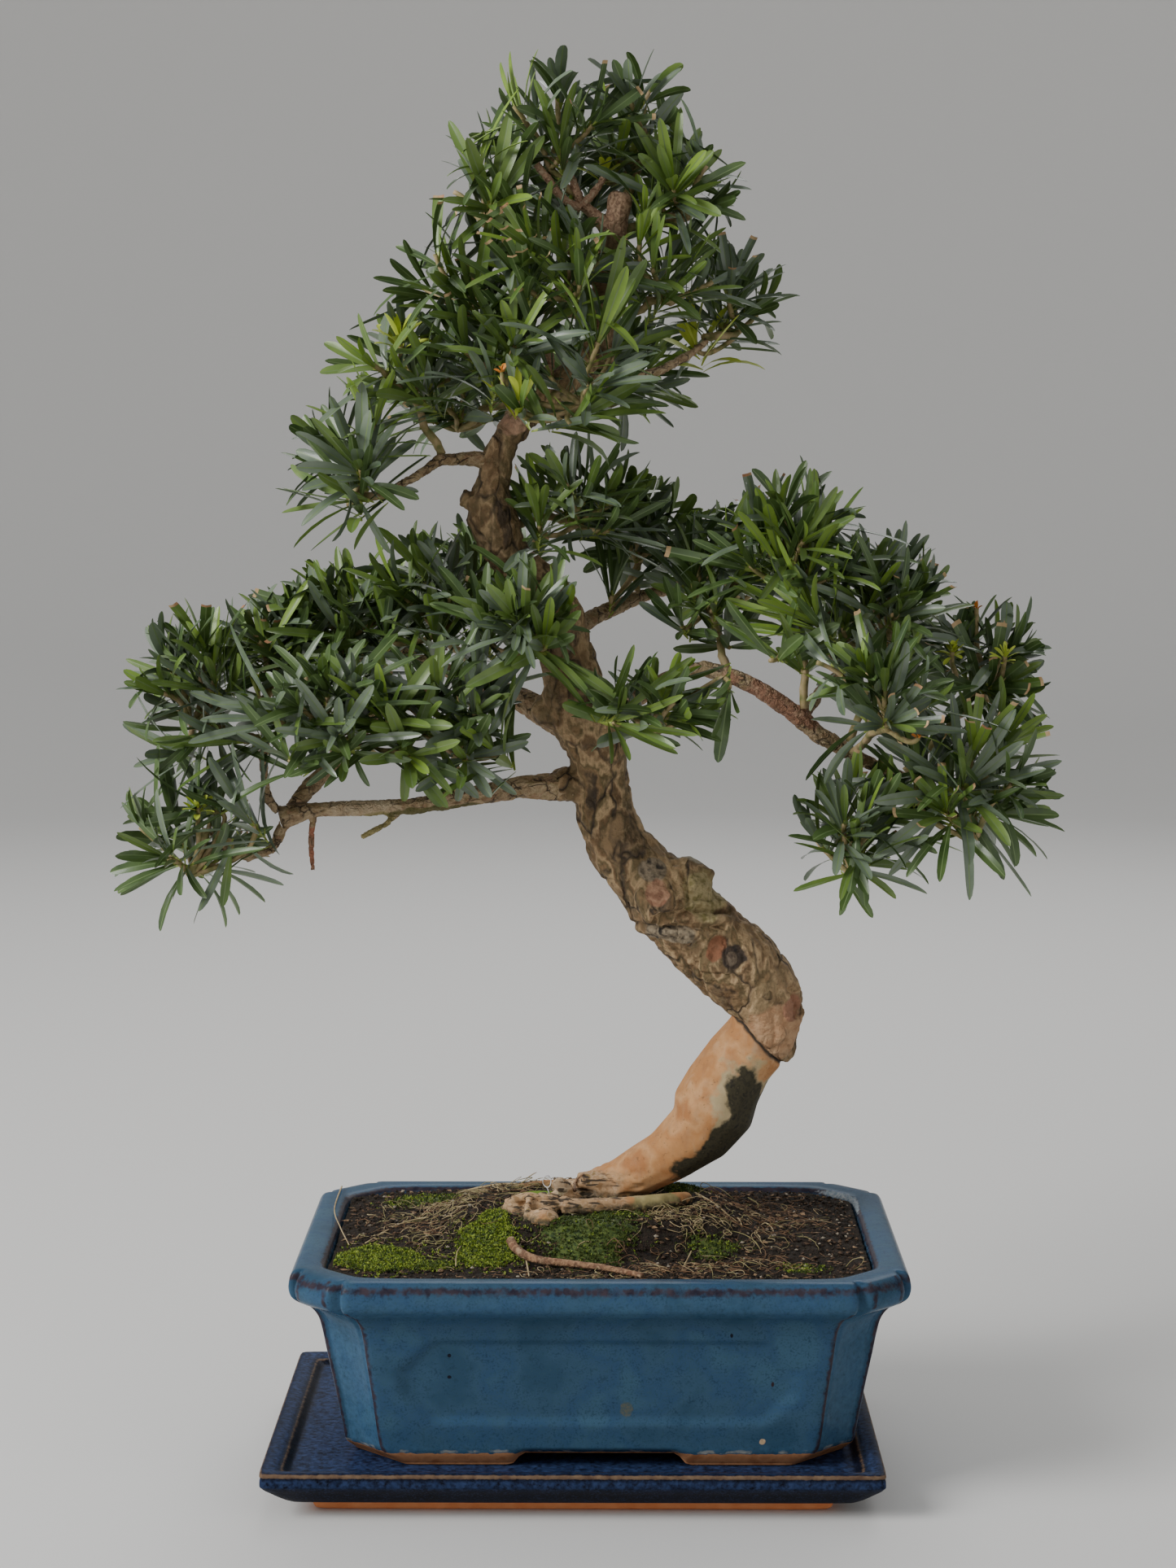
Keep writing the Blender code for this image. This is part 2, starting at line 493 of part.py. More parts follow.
def make_pot():
    outside = [pot_ring(*step) for step in POT_PROFILE]
    inside = [pot_ring(*step) for step in inner_profile()]
    glaze = finish_of("pot_glaze", (0.045, 0.125, 0.235), 0.25, 0.6)
    pot = object_of("pot", lambda shape: loft(shape, outside + inside), glaze)

    cuts = [panel_cutter("front", PANEL_FRONT_HALF), panel_cutter("back", PANEL_FRONT_HALF)]
    cuts += [panel_cutter("left", PANEL_SIDE_HALF), panel_cutter("right", PANEL_SIDE_HALF)]
    under = POT_FOOT_BOTTOM - 0.002
    foot_inside = outer_inset(POT_FOOT_BOTTOM) + FOOT_RIM
    inner = POT_HALF - Vector((foot_inside, foot_inside))
    rings = [corner_outline(inner, POT_CORNER * 0.6, z, POT_MIDDLE)[::3] for z in (under, POT_UNDERSIDE)]
    cuts.append(object_of("hollow_under", lambda shape: loft(shape, rings)))
    for axis, gap, middle, reach in (
        ("y", FOOT_GAP_FRONT, POT_MIDDLE.x, POT_MIDDLE.y), ("x", FOOT_GAP_SIDE, POT_MIDDLE.y, POT_MIDDLE.x)
    ):
        wide, narrow = gap / 2 + FOOT_SLANT / 2, gap / 2 - FOOT_SLANT / 2
        corners = ((middle - wide, under), (middle + wide, under), (middle + narrow, POT_UNDERSIDE + 0.0001),
                   (middle - narrow, POT_UNDERSIDE + 0.0001))
        cuts.append(prism("foot_gap_" + axis, corners, reach - 0.2, reach + 0.2, axis))
    for side in (-1, 1):
        turns = [2 * math.pi * i / DRAIN_SIDES for i in range(DRAIN_SIDES)]
        middle = POT_MIDDLE + Vector((side * DRAIN_PLACE, 0.0))
        ring = [middle + DRAIN_RADIUS * Vector((math.cos(a), math.sin(a))) for a in turns]
        cuts.append(prism("drain", ring, POT_UNDERSIDE - 0.004, POT_FLOOR + 0.004, "z"))
    for cutter in cuts:
        combine(pot, [cutter], "DIFFERENCE")
    return pot


def soil_share(x, y):
    """0 in the middle of the pot, 1 at the wall, along the soil's outline."""
    half, cut = soil_outline()
    dx, dy = abs(x - POT_MIDDLE.x), abs(y - POT_MIDDLE.y)
    return max(dx / half.x, dy / half.y, (dx + dy) / (half.x + half.y - cut))


def soil_outline():
    inset = RIM_WIDTH + 0.0024 + FIT
    return POT_HALF - Vector((inset, inset)), POT_CORNER - inset * 0.35


def soil_step_height(share):
    fall = min(1.0, max(0.0, (share - SOIL_STEPS[-1]) / (1 - SOIL_STEPS[-1])))
    return SOIL_CROWN - (SOIL_CROWN - SOIL_EDGE) * fall * fall * (3 - 2 * fall)


def soil_height(x, y):
    """The height of the mound's surface, which runs straight between its steps."""
    share = soil_share(x, y)
    if share <= SOIL_STEPS[-1]:
        return SOIL_CROWN
    for outer, inner in zip(SOIL_STEPS, SOIL_STEPS[1:]):
        if inner <= share <= outer:
            t = (share - inner) / (outer - inner)
            return soil_step_height(inner) * (1 - t) + soil_step_height(outer) * t
    return SOIL_EDGE


def make_soil():
    half, cut = soil_outline()
    below = [pot_ring(z, inset) for z, inset in reversed(inner_profile(FIT)) if z < POT_NECK]
    mound = [corner_outline(half * s, cut * s, soil_step_height(s), POT_MIDDLE) for s in SOIL_STEPS]
    earth = finish_of("soil", (0.06, 0.035, 0.02), 0.95)
    return object_of("soil", lambda shape: loft(shape, below + mound), earth)


def make_moss(name, middle, half, turn):
    """A low cushion that lies on the mound."""
    spin = Matrix.Rotation(turn, 2)

    def ring(share, thickness):
        points = []
        for i in range(MOSS_SIDES):
            a = 2 * math.pi * i / MOSS_SIDES
            edge = Vector((half[0] * math.cos(a), half[1] * math.sin(a)))
            spot = Vector(middle) + spin @ edge * share
            points.append(Vector((spot.x, spot.y, soil_height(spot.x, spot.y) + MOSS_LIFT + thickness)))
        return points

    rings = [ring(0.35, 0.0), ring(0.70, 0.0), ring(0.96, 0.0), ring(1.0, MOSS_THICKNESS * 0.4),
             ring(0.75, MOSS_THICKNESS * 0.85), ring(0.35, MOSS_THICKNESS)]
    green = finish_of("moss", (0.10, 0.20, 0.02), 0.95)
    return object_of(name, lambda shape: loft(shape, rings), green)


# Wood

def smooth_run(stations, per_span=LIMB_STEPS):
    """Points and radii on a smooth curve through the stations."""
    rows = [Vector(s) for s in stations]
    rows = [2 * rows[0] - rows[1], *rows, 2 * rows[-1] - rows[-2]]
    run = []
    for p0, p1, p2, p3 in zip(rows, rows[1:], rows[2:], rows[3:]):
        for step in range(per_span):
            t = step / per_span
            point = (
                2 * p1 + (p2 - p0) * t + (2 * p0 - 5 * p1 + 4 * p2 - p3) * t * t
                + (3 * p1 - p0 - 3 * p2 + p3) * t * t * t
            ) / 2
            run.append((point.xyz, max(point.w, 0.0008)))
    run.append((rows[-2].xyz, rows[-2].w))
    return run


def tube_rings(run, sides, grow=0.0):
    """Rings across a run, carried along it without twist. With grow, fatter and longer by that."""
    rings = []
    points = [p for p, _ in run]
    normal = None
    for i, (point, radius) in enumerate(run):
        ahead = points[min(i + 1, len(points) - 1)] - points[max(i - 1, 0)]
        ahead.normalize()
        if normal is None:
            normal = ahead.orthogonal().normalized()
        normal = (normal - ahead * normal.dot(ahead)).normalized()
        side = ahead.cross(normal)
        end = grow if i == len(run) - 1 else (-grow if i == 0 else 0.0)
        ring = []
        for k in range(sides):
            a = TUBE_TURN + 2 * math.pi * k / sides
            ring.append(point + ahead * end + (normal * math.cos(a) + side * math.sin(a)) * (radius + grow))
        rings.append(ring)
    return rings


def tube(name, run, sides, material=None, grow=0.0):
    rings = tube_rings(run, sides, grow)
    return object_of(name, lambda shape: loft(shape, rings), material)


def burl(middle, half, grow=0.0):
    def build(shape):
        bmesh.ops.create_icosphere(shape, subdivisions=1, radius=1.0)
        size = Vector(half) + Vector((grow, grow, grow))
        bmesh.ops.scale(shape, vec=size, verts=shape.verts)
        bmesh.ops.rotate(shape, cent=(0, 0, 0), matrix=Matrix.Rotation(BURL_TILT, 3, "X"), verts=shape.verts)
        bmesh.ops.translate(shape, vec=Vector(middle), verts=shape.verts)

    return object_of("burl", build)


def bark():
    return finish_of("bark", (0.36, 0.23, 0.13), 0.85)


def trunk_solid(name, grow=0.0):
    """The trunk with its burls, roots and stubs, cut flat where it meets the soil."""
    trunk = tube(name, smooth_run(TRUNK), TRUNK_SIDES, bark(), grow)
    added = [burl(middle, half, grow) for middle, half in BURLS]
    added += [tube("spur", smooth_run(run), SPUR_SIDES, None, grow) for run in TRUNK_SPURS]
    combine(trunk, added, "UNION")
    if not grow:
        ground = SOIL_CROWN + FIT
        corners = ((-0.3, -0.3), (0.3, -0.3), (0.3, 0.3), (-0.3, 0.3))
        combine(trunk, [prism("ground", corners, ground - 0.1, ground, "z")], "DIFFERENCE")
    keep_one_body(trunk)
    return trunk


def bough_solid(name, limb, grow=0.0):
    """A bough with its stubs. The limb names whose stations it takes."""
    bough = tube(name, smooth_run(BOUGHS[limb][1]), BOUGH_SIDES, bark(), grow)
    added = [tube("spur", smooth_run(run), SPUR_SIDES, None, grow) for run in BOUGH_SPURS.get(limb, ())]
    if added:
        combine(bough, added, "UNION")
    return bough


def limb_solid(limb, grow):
    """A limb a little fatter than itself, to cut what starts inside it."""
    return trunk_solid("cut_by", grow) if limb == "trunk" else bough_solid("cut_by", limb, grow)


def run_of(name):
    return smooth_run(TRUNK if name == "trunk" else BOUGHS[name][1])


def along(run, share):
    """The place at a share of a run's length, with the direction there."""
    points = [p for p, _ in run]
    lengths = [0.0]
    for a, b in zip(points, points[1:]):
        lengths.append(lengths[-1] + (b - a).length)
    goal = share * lengths[-1]
    for i in range(len(points) - 1):
        if goal <= lengths[i + 1] or i == len(points) - 2:
            t = (goal - lengths[i]) / (lengths[i + 1] - lengths[i])
            return points[i].lerp(points[i + 1], t), (points[i + 1] - points[i]).normalized()
    return points[-1], (points[-1] - points[-2]).normalized()


# Foliage

def stem_run(mass):
    """A mass's stem: from its limb's middle to the middle of the space, bending upwards."""
    limb, share, middle, half, _ = MASSES[mass]
    start, ahead = along(run_of(limb), share)
    end = Vector(middle) - Vector((0.0, 0.0, half[2] * 0.40))
    span = (end - start).length
    if share >= 1.0:
        bend = start + ahead * span * 0.4
    else:
        bend = start.lerp(end, 0.45) + Vector((0.0, 0.0, span * 0.10))
    run = []
    for i in range(STEM_PIECES + 1):
        t = i / STEM_PIECES
        point = start * (1 - t) ** 2 + bend * 2 * t * (1 - t) + end * t * t
        run.append((point, STEM_RADIUS * (1 - 0.3 * t)))
    return run


def space_depth(mass, points):
    """How far out points lie in a mass's space: 0 in its middle, 1 at its skin."""
    _, _, middle, half, _ = MASSES[mass]
    return np.linalg.norm((points - np.array(middle)) / np.array(half), axis=1)


def in_own_space(mass, points):
    """Whether all points lie in the mass's space and nearer to it than to any other."""
    own = space_depth(mass, points)
    if (own > 1.0).any():
        return False
    return all((space_depth(other, points) > own + SPACE_WALL).all() for other in MASSES if other != mass)


def limb_segments():
    """All limbs and stems as straight pieces: start, end, radius, and the mass a stem belongs to."""
    runs = [(run_of(name), None) for name in ("trunk", *BOUGHS)]
    runs += [(smooth_run(run), None) for run in TRUNK_SPURS]
    for middle, half in BURLS:
        up = Vector((0.0, 0.0, half[2] / 2))
        runs.append(([(Vector(middle) - up, max(half)), (Vector(middle) + up, max(half))], None))
    runs += [(smooth_run(run), None) for spurs in BOUGH_SPURS.values() for run in spurs]
    runs += [(stem_run(mass), mass) for mass in MASSES]
    rows = []
    for run, owner in runs:
        for (a, ra), (b, rb) in zip(run, run[1:]):
            rows.append((a, b, max(ra, rb), owner))
    return rows


class Limbs:
    """Measures how far points lie from the bark of every limb."""

    def __init__(self):
        rows = limb_segments()
        self.start = np.array([tuple(a) for a, _, _, _ in rows])
        self.reach = np.array([tuple(b - a) for a, b, _, _ in rows])
        self.radius = np.array([r for _, _, r, _ in rows])
        self.owner = np.array([owner or "" for _, _, _, owner in rows])
        self.square = np.maximum((self.reach ** 2).sum(axis=1), 1e-12)

    def clearance(self, points, mass):
        others = self.owner != mass
        start, reach = self.start[others], self.reach[others]
        offset = points[:, None, :] - start[None]
        t = np.clip((offset * reach[None]).sum(axis=2) / self.square[others][None], 0.0, 1.0)
        gaps = np.linalg.norm(offset - t[..., None] * reach[None], axis=2) - self.radius[others][None]
        return gaps.min()


def leaf_points(base, direction, side, length, width):
    """The outline of a leaf, to test it against its space and the limbs."""
    rows = []
    for t, share in ((0.2, 0.5), (LEAF_BROADEST, 1.0), (0.7, 0.55), (1.0, 0.0)):
        for edge in (-1, 1):
            rows.append(base + direction * length * t + side * edge * width * share / 2)
    return np.array([tuple(p) for p in rows])


def add_leaf(shape, roots, leaf, width):
    """Grows a triangle of a twig into a leaf: flat above, keeled below, broadest partway, pointed."""
    direction, side, length = leaf
    over = direction.cross(side)
    base = sum((root.co for root in roots), Vector()) / 3
    keel = min(roots, key=lambda root: (root.co - base).dot(over))
    left, right = sorted((root for root in roots if root is not keel), key=lambda root: root.co.dot(side))
    broad = base + direction * length * LEAF_BROADEST
    flat = over * (LEAF_THICKNESS / 3)
    offsets = (flat - side * (width / 2), flat + side * (width / 2), over * (-LEAF_THICKNESS * 2 / 3))
    around = [shape.verts.new(broad + offset) for offset in offsets]
    tip = shape.verts.new(base + direction * length)
    low = (left, right, keel)
    for i in range(3):
        j = (i + 1) % 3
        shape.faces.new((low[i], low[j], around[j], around[i]))
        shape.faces.new((around[i], around[j], tip))


def shoot_tips(mass, rng):
    """Where the shoots of a mass end, spread by the golden angle from its top down."""
    _, _, middle, half, count = MASSES[mass]
    phase = rng.uniform(0, 2 * math.pi)
    for k in range(count):
        height = 1 - 2 * (k + 0.5) / count
        flat = math.sqrt(1 - height * height)
        turn = phase + k * GOLDEN_TURN
        out = Vector((math.cos(turn) * flat, math.sin(turn) * flat, height))
        yield Vector(middle) + Vector([SHOOT_REACH * h * o for h, o in zip(half, out)])


def apart(points, others):
    """Whether points keep their distance from the middles of the leaves already grown."""
    for base, tip in others:
        reach = np.array(tip - base)
        offset = points - np.array(base)
        t = np.clip(offset @ reach / reach.dot(reach), 0.25, 1.0)
        if (np.linalg.norm(offset - t[:, None] * reach, axis=1) < LEAF_APART).any():
            return False
    return True


def fitted_leaf(mass, limbs, others, base, direction, side):
    """The longest leaf from a base that keeps to its space, clear of limbs and other leaves."""
    length = LEAF_LENGTH
    while length > LEAF_LENGTH * LEAF_SHORTEST:
        width = LEAF_WIDTH * (0.6 + 0.4 * length / LEAF_LENGTH)
        samples = leaf_points(base, direction, side, length, width)
        if in_own_space(mass, samples) and limbs.clearance(samples, mass) > LIMB_CLEARANCE:
            middle = np.array([tuple(base + direction * length * t) for t in (0.35, 0.55, 0.75, 1.0)])
            if apart(middle, others):
                return length, width
        length *= 0.93
    return None


def grow_leaf(shape, mass, limbs, grown, roots, ahead, outward, lean, rng):
    """A leaf on the triangle of roots, turned a little from the plan where that makes it fit. If none
    fits, the triangle stays a plain face."""
    base = sum((root.co for root in roots), Vector()) / 3
    for attempt in range(LEAF_TRIES):
        spread = LEAF_JITTER * (1 + attempt * 0.5)
        angle = lean + rng.uniform(-spread, spread)
        out = (Matrix.Rotation(rng.uniform(-spread, spread), 3, ahead) @ outward).normalized()
        direction = ahead * math.cos(angle) + out * math.sin(angle)
        side = ahead.cross(out).normalized()
        fitted = fitted_leaf(mass, limbs, grown, base, direction, side)
        if fitted:
            length, width = fitted
            add_leaf(shape, roots, (direction, side, length), width)
            grown.append((base, base + direction * length))
            return
    shape.faces.new(roots)


def shoot_solid(mass, limbs, grown, fork, place, rng):
    """A three-sided twig whose rings turn by a sixth from whorl to whorl, so that each whorl has three
    triangles for its leaves. The last leaf grows from the end."""
    ahead = (place - fork).normalized()
    cross = ahead.orthogonal().normalized()
    over = ahead.cross(cross)
    spacing = min(WHORL_SPACING, (place - fork).length / (len(WHORL_LEANS) + 1))

    def outward(turn):
        return cross * math.cos(turn) + over * math.sin(turn)

    def build(shape):
        sixth = math.pi / 3
        rings = []
        for level in range(-1, len(WHORL_LEANS) + 1):
            back = (len(WHORL_LEANS) - level) * spacing
            middle = fork - ahead * TWIG_SUNK if level < 0 else place - ahead * back
            turns = [max(level, 0) * sixth + 2 * sixth * k for k in range(3)]
            rings.append([shape.verts.new(middle + outward(turn) * TWIG_RADIUS) for turn in turns])
        shape.faces.new(rings[0])
        for k in range(3):
            after = (k + 1) % 3
            shape.faces.new((rings[0][k], rings[0][after], rings[1][after], rings[1][k]))
        for level, lean in enumerate(WHORL_LEANS):
            low, high = rings[level + 1], rings[level + 2]
            for k in range(3):
                after = (k + 1) % 3
                shape.faces.new((low[k], low[after], high[k]))
                facing = outward(level * sixth + 2 * sixth * after)
                roots = (high[k], high[after], low[after])
                grow_leaf(shape, mass, limbs, grown, roots, ahead, facing, lean, rng)
        facing = outward(len(WHORL_LEANS) * sixth)
        grow_leaf(shape, mass, limbs, grown, rings[-1], ahead, facing, TIP_LEAN, rng)

    return object_of("shoot", build)


def grow_mass(mass, limbs, green):
    """One mass: its stem and, from the stem's end, the shoots with their leaves."""
    rng = random.Random(sum(ord(letter) * (i + 3) for i, letter in enumerate(mass)))
    stem = stem_run(mass)
    fork = stem[-1][0]
    made = tube(mass, stem, TWIG_SIDES, green)
    shoots, grown = [], []
    for place in shoot_tips(mass, rng):
        samples = np.array([tuple(fork.lerp(place, t)) for t in (0.3, 0.65, 1.0)])
        if in_own_space(mass, samples) and limbs.clearance(samples, mass) > TWIG_RADIUS + LIMB_CLEARANCE:
            shoots.append(shoot_solid(mass, limbs, grown, fork, place, rng))
    combine(made, shoots, "UNION")
    combine(made, [limb_solid(MASSES[mass][0], FIT)], "DIFFERENCE")
    keep_one_body(made)
    return len(grown)


def main():
    clear_scene()
    make_tray()
    make_pot()
    make_soil()
    for name, cushion in MOSS.items():
        make_moss(name, *cushion)
    stations = [(x, y, soil_height(x, y) + r + FALLEN_LIFT, r) for x, y, r in FALLEN_TWIG]
    tube("fallen_twig", smooth_run(stations, FALLEN_STEPS), SPUR_SIDES, bark())

    trunk_solid("trunk")
    for name, (carrier, _) in BOUGHS.items():
        bough = bough_solid(name, name)
        combine(bough, [limb_solid(carrier, FIT)], "DIFFERENCE")
        keep_one_body(bough)

    limbs = Limbs()
    green = finish_of("foliage", (0.06, 0.14, 0.04), 0.5)
    leaves = sum(grow_mass(mass, limbs, green) for mass in MASSES)
    faces = {item.name: len(item.data.polygons) for item in bpy.data.objects if item.type == "MESH"}
    print(leaves, "leaves,", len(faces), "solids")


main()
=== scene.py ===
# %% [markdown]
# # A podocarpus bonsai in Blender
# This lesson dresses the solids of a potted bonsai, so that they look like the real tree: bark with
# relief, some thousands of strap leaves, glazed stoneware, damp soil and moss. The solids come in as a
# fixed frame in metres, with +Z up. The pieces made here take the frame's places from its solids.

# %% Load the frame
import math
import random
from collections import namedtuple

import bpy
import numpy as np
from mathutils import Matrix, Vector, noise
from mathutils.bvhtree import BVHTree
from mathutils.kdtree import KDTree


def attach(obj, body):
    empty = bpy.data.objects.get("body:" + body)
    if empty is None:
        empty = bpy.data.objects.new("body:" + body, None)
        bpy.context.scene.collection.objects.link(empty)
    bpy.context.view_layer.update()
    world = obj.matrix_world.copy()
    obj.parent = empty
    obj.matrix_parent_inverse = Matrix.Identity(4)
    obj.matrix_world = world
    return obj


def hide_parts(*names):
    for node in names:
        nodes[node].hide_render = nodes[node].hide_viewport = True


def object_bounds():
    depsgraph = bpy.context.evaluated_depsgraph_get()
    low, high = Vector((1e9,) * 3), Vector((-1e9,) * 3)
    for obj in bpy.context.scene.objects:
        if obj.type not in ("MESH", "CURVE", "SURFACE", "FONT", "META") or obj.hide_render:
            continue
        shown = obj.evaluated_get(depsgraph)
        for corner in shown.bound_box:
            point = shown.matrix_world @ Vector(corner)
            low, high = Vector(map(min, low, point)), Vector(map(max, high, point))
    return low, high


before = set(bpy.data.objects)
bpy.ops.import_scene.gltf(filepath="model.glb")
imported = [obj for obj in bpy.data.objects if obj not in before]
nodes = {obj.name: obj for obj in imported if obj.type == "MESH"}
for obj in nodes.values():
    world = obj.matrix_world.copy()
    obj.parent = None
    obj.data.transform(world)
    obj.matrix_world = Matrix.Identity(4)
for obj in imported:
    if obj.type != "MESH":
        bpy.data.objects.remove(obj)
cad_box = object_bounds()
limb_names = [name for name in nodes if name == "trunk" or name.startswith("bough")]
mass_names = [name for name in nodes if name.startswith("mass")]
print(len(nodes), "nodes,", len(limb_names), "limbs,", len(mass_names), "masses of foliage")

# %% [markdown]
# Blender's own meshes are lists of points and faces. One helper turns such lists into an object, gives
# it its materials and makes it ride on the part. Another one makes a material whose colour wanders
# between a few tones, because nothing that grows or that is fired in a kiln has one flat colour.


# %% Helpers for meshes
def piece_of(name, points, faces, materials, slots=None, smooth=True):
    """A piece from points and faces. slots gives each face's material."""
    mesh = bpy.data.meshes.new(name)
    mesh.from_pydata([tuple(p) for p in points], [], [tuple(f) for f in faces])
    for material in materials:
        mesh.materials.append(material)
    if slots is not None:
        mesh.polygons.foreach_set("material_index", slots)
    mesh.polygons.foreach_set("use_smooth", [smooth] * len(mesh.polygons))
    mesh.update()
    piece = bpy.data.objects.new(name, mesh)
    bpy.context.scene.collection.objects.link(piece)
    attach(piece, "root")
    return piece


def apply_modifiers(piece):
    """Bakes a piece's modifiers into its mesh."""
    graph = bpy.context.evaluated_depsgraph_get()
    mesh = bpy.data.meshes.new_from_object(piece.evaluated_get(graph))
    piece.modifiers.clear()
    piece.data = mesh


def spots_of(mesh):
    """A mesh's points and their normals, as two arrays."""
    spots, normals = np.zeros(len(mesh.vertices) * 3), np.zeros(len(mesh.vertices) * 3)
    mesh.vertices.foreach_get("co", spots)
    mesh.vertices.foreach_get("normal", normals)
    return spots.reshape(-1, 3), normals.reshape(-1, 3)


def smooth_path(stations, spacing, counted=2):
    """A smooth curve through stations, spaced by their first values, as many as are counted."""
    stations = [np.array(s) for s in stations]
    made = []
    for i in range(len(stations) - 1):
        a, b, c, d = (stations[max(0, min(len(stations) - 1, i + k))] for k in (-1, 0, 1, 2))
        steps = max(1, math.ceil(float(np.linalg.norm((c - b)[:counted])) / spacing))
        for t in np.arange(steps) / steps:
            made.append(0.5 * (2 * b + (c - a) * t + (2 * a - 5 * b + 4 * c - d) * t ** 2
                               + (3 * b - a - 3 * c + d) * t ** 3))
    return made + [stations[-1]]


def copy_of_node(name, new_name):
    """A new object with a copy of a node's mesh, to be refined."""
    mesh = nodes[name].data.copy()
    mesh.materials.clear()
    piece = bpy.data.objects.new(new_name, mesh)
    bpy.context.scene.collection.objects.link(piece)
    return piece


# %% Helpers for materials
def add_node(tree, kind, inputs=None, **settings):
    """A shader node with its settings. Each input is linked, where it is given a socket, or set."""
    made = tree.nodes.new("ShaderNode" + kind)
    for key, value in settings.items():
        setattr(made, key, value)
    for key, value in (inputs or {}).items():
        if isinstance(value, bpy.types.NodeSocket):
            tree.links.new(value, made.inputs[key])
        else:
            made.inputs[key].default_value = value
    return made


def place_of(tree, scale=(1.0, 1.0, 1.0)):
    """The object's own coordinates, in metres, scaled."""
    place = add_node(tree, "TexCoord")
    return add_node(tree, "Mapping", {"Vector": place.outputs["Object"], "Scale": scale}).outputs["Vector"]


def spread_of(tree, value, low, high):
    """Spreads a value so that low to high fills 0 to 1."""
    return add_node(tree, "MapRange", {"Value": value, "From Min": low, "From Max": high}).outputs["Result"]


def product_of(tree, a, b):
    return add_node(tree, "Math", {0: a, 1: b}, operation="MULTIPLY").outputs["Value"]


def noise_of(tree, scale, detail=4.0, stretch=(1.0, 1.0, 1.0), low=0.35, high=0.65):
    made = add_node(tree, "TexNoise", {"Vector": place_of(tree, stretch), "Scale": scale, "Detail": detail})
    return spread_of(tree, made.outputs["Fac"], low, high)


def ramp_of(tree, tones, factor):
    """A colour ramp with evenly spaced tones."""
    ramp = add_node(tree, "ValToRGB", {"Fac": factor})
    elements = ramp.color_ramp.elements
    while len(elements) < len(tones):
        elements.new(0.5)
    for i, tone in enumerate(tones):
        elements[i].position = i / (len(tones) - 1)
        elements[i].color = (*tone, 1.0)
    return ramp.outputs["Color"]


def lay_over(tree, mask, colour):
    """Lets a colour take over the shader's base colour where the mask is 1."""
    base = tree.nodes["Principled BSDF"].inputs["Base Color"]
    mix = add_node(tree, "Mix", {"Factor": mask}, data_type="RGBA")
    tree.links.new(base.links[0].from_socket, mix.inputs["A"])
    tree.links.new(colour, mix.inputs["B"])
    tree.links.new(mix.outputs["Result"], base)


def give_relief(tree, height, strength, distance=0.001):
    relief = add_node(tree, "Bump", {"Height": height, "Strength": strength, "Distance": distance})
    tree.links.new(relief.outputs["Normal"], tree.nodes["Principled BSDF"].inputs["Normal"])


def finish_of(name, tones, scale, roughness, bump=0.0, bump_scale=400.0, coat=0.0, stretch=(1.0, 1.0, 1.0)):
    """A material whose colour wanders over tones, with fine bump."""
    made = bpy.data.materials.new(name)
    made.use_nodes = True
    tree = made.node_tree
    shader = tree.nodes["Principled BSDF"]
    shader.inputs["Roughness"].default_value = roughness
    shader.inputs["Coat Weight"].default_value = coat
    shader.inputs["Coat Roughness"].default_value = 0.12
    tree.links.new(ramp_of(tree, tones, noise_of(tree, scale, stretch=stretch)), shader.inputs["Base Color"])
    if bump:
        give_relief(tree, noise_of(tree, bump_scale, stretch=stretch), bump)
    return made


def above(tree, bottom, top):
    """A mask that is 1 above a height."""
    split = add_node(tree, "SeparateXYZ", {"Vector": place_of(tree)})
    return spread_of(tree, split.outputs["Z"], bottom, top)


def below(tree, bottom, top):
    """A mask that is 1 under a height."""
    return add_node(tree, "Math", {0: 1.0, 1: above(tree, bottom, top)}, operation="SUBTRACT").outputs["Value"]


def inside_of(tree, middle, half, ragged=1.9, scale=95.0, edge=0.10):
    """A mask that is 1 in an ellipsoid, with a ragged edge."""
    off = add_node(tree, "VectorMath", {0: place_of(tree), 1: middle}, operation="SUBTRACT")
    share = add_node(tree, "VectorMath", {0: off.outputs["Vector"], 1: half}, operation="DIVIDE")
    far = add_node(tree, "VectorMath", {0: share.outputs["Vector"]}, operation="LENGTH")
    wobble = noise_of(tree, scale, detail=6.0, low=0.0, high=1.0)
    total = add_node(tree, "Math", {0: wobble, 1: ragged, 2: far.outputs["Value"]}, operation="MULTIPLY_ADD")
    return spread_of(tree, total.outputs["Value"], 1 + ragged / 2 + edge, 1 + ragged / 2 - edge)


# %% [markdown]
# The camera stands where the photographer stood. Its place comes from the pot's and the tray's corners:
# it is level with the middle of the tree, about 1.35 m away, and looks down by some 6 degrees.

# %% Camera
CAMERA_PLACE = (0.0153, -1.3477, 0.4357)
CAMERA_DIP = 0.1014
CAMERA_YAW = 0.007
LENS_MM = 72.4
SENSOR_MM = 36.0

camera_data = bpy.data.cameras.new("camera")
camera_data.lens = LENS_MM
camera_data.sensor_width = SENSOR_MM
camera = bpy.data.objects.new("camera", camera_data)
camera.location = CAMERA_PLACE
camera.rotation_euler = (math.pi / 2 - CAMERA_DIP, 0.0, CAMERA_YAW)
bpy.context.scene.collection.objects.link(camera)
bpy.context.scene.camera = camera
print("camera looks down by", round(math.degrees(CAMERA_DIP), 1), "degrees")

# %% [markdown]
# The tree stands on pale paper that curves up all round it, so that no view shows a horizon. Three large
# soft lights are enough. The strongest comes from the left, as the daylight in the photograph does.

# %% Paper and lights
PAPER_FLAT = 2.6
PAPER_CURVE = 1.4
PAPER_SIDES = 96
PAPER_STEPS = 14


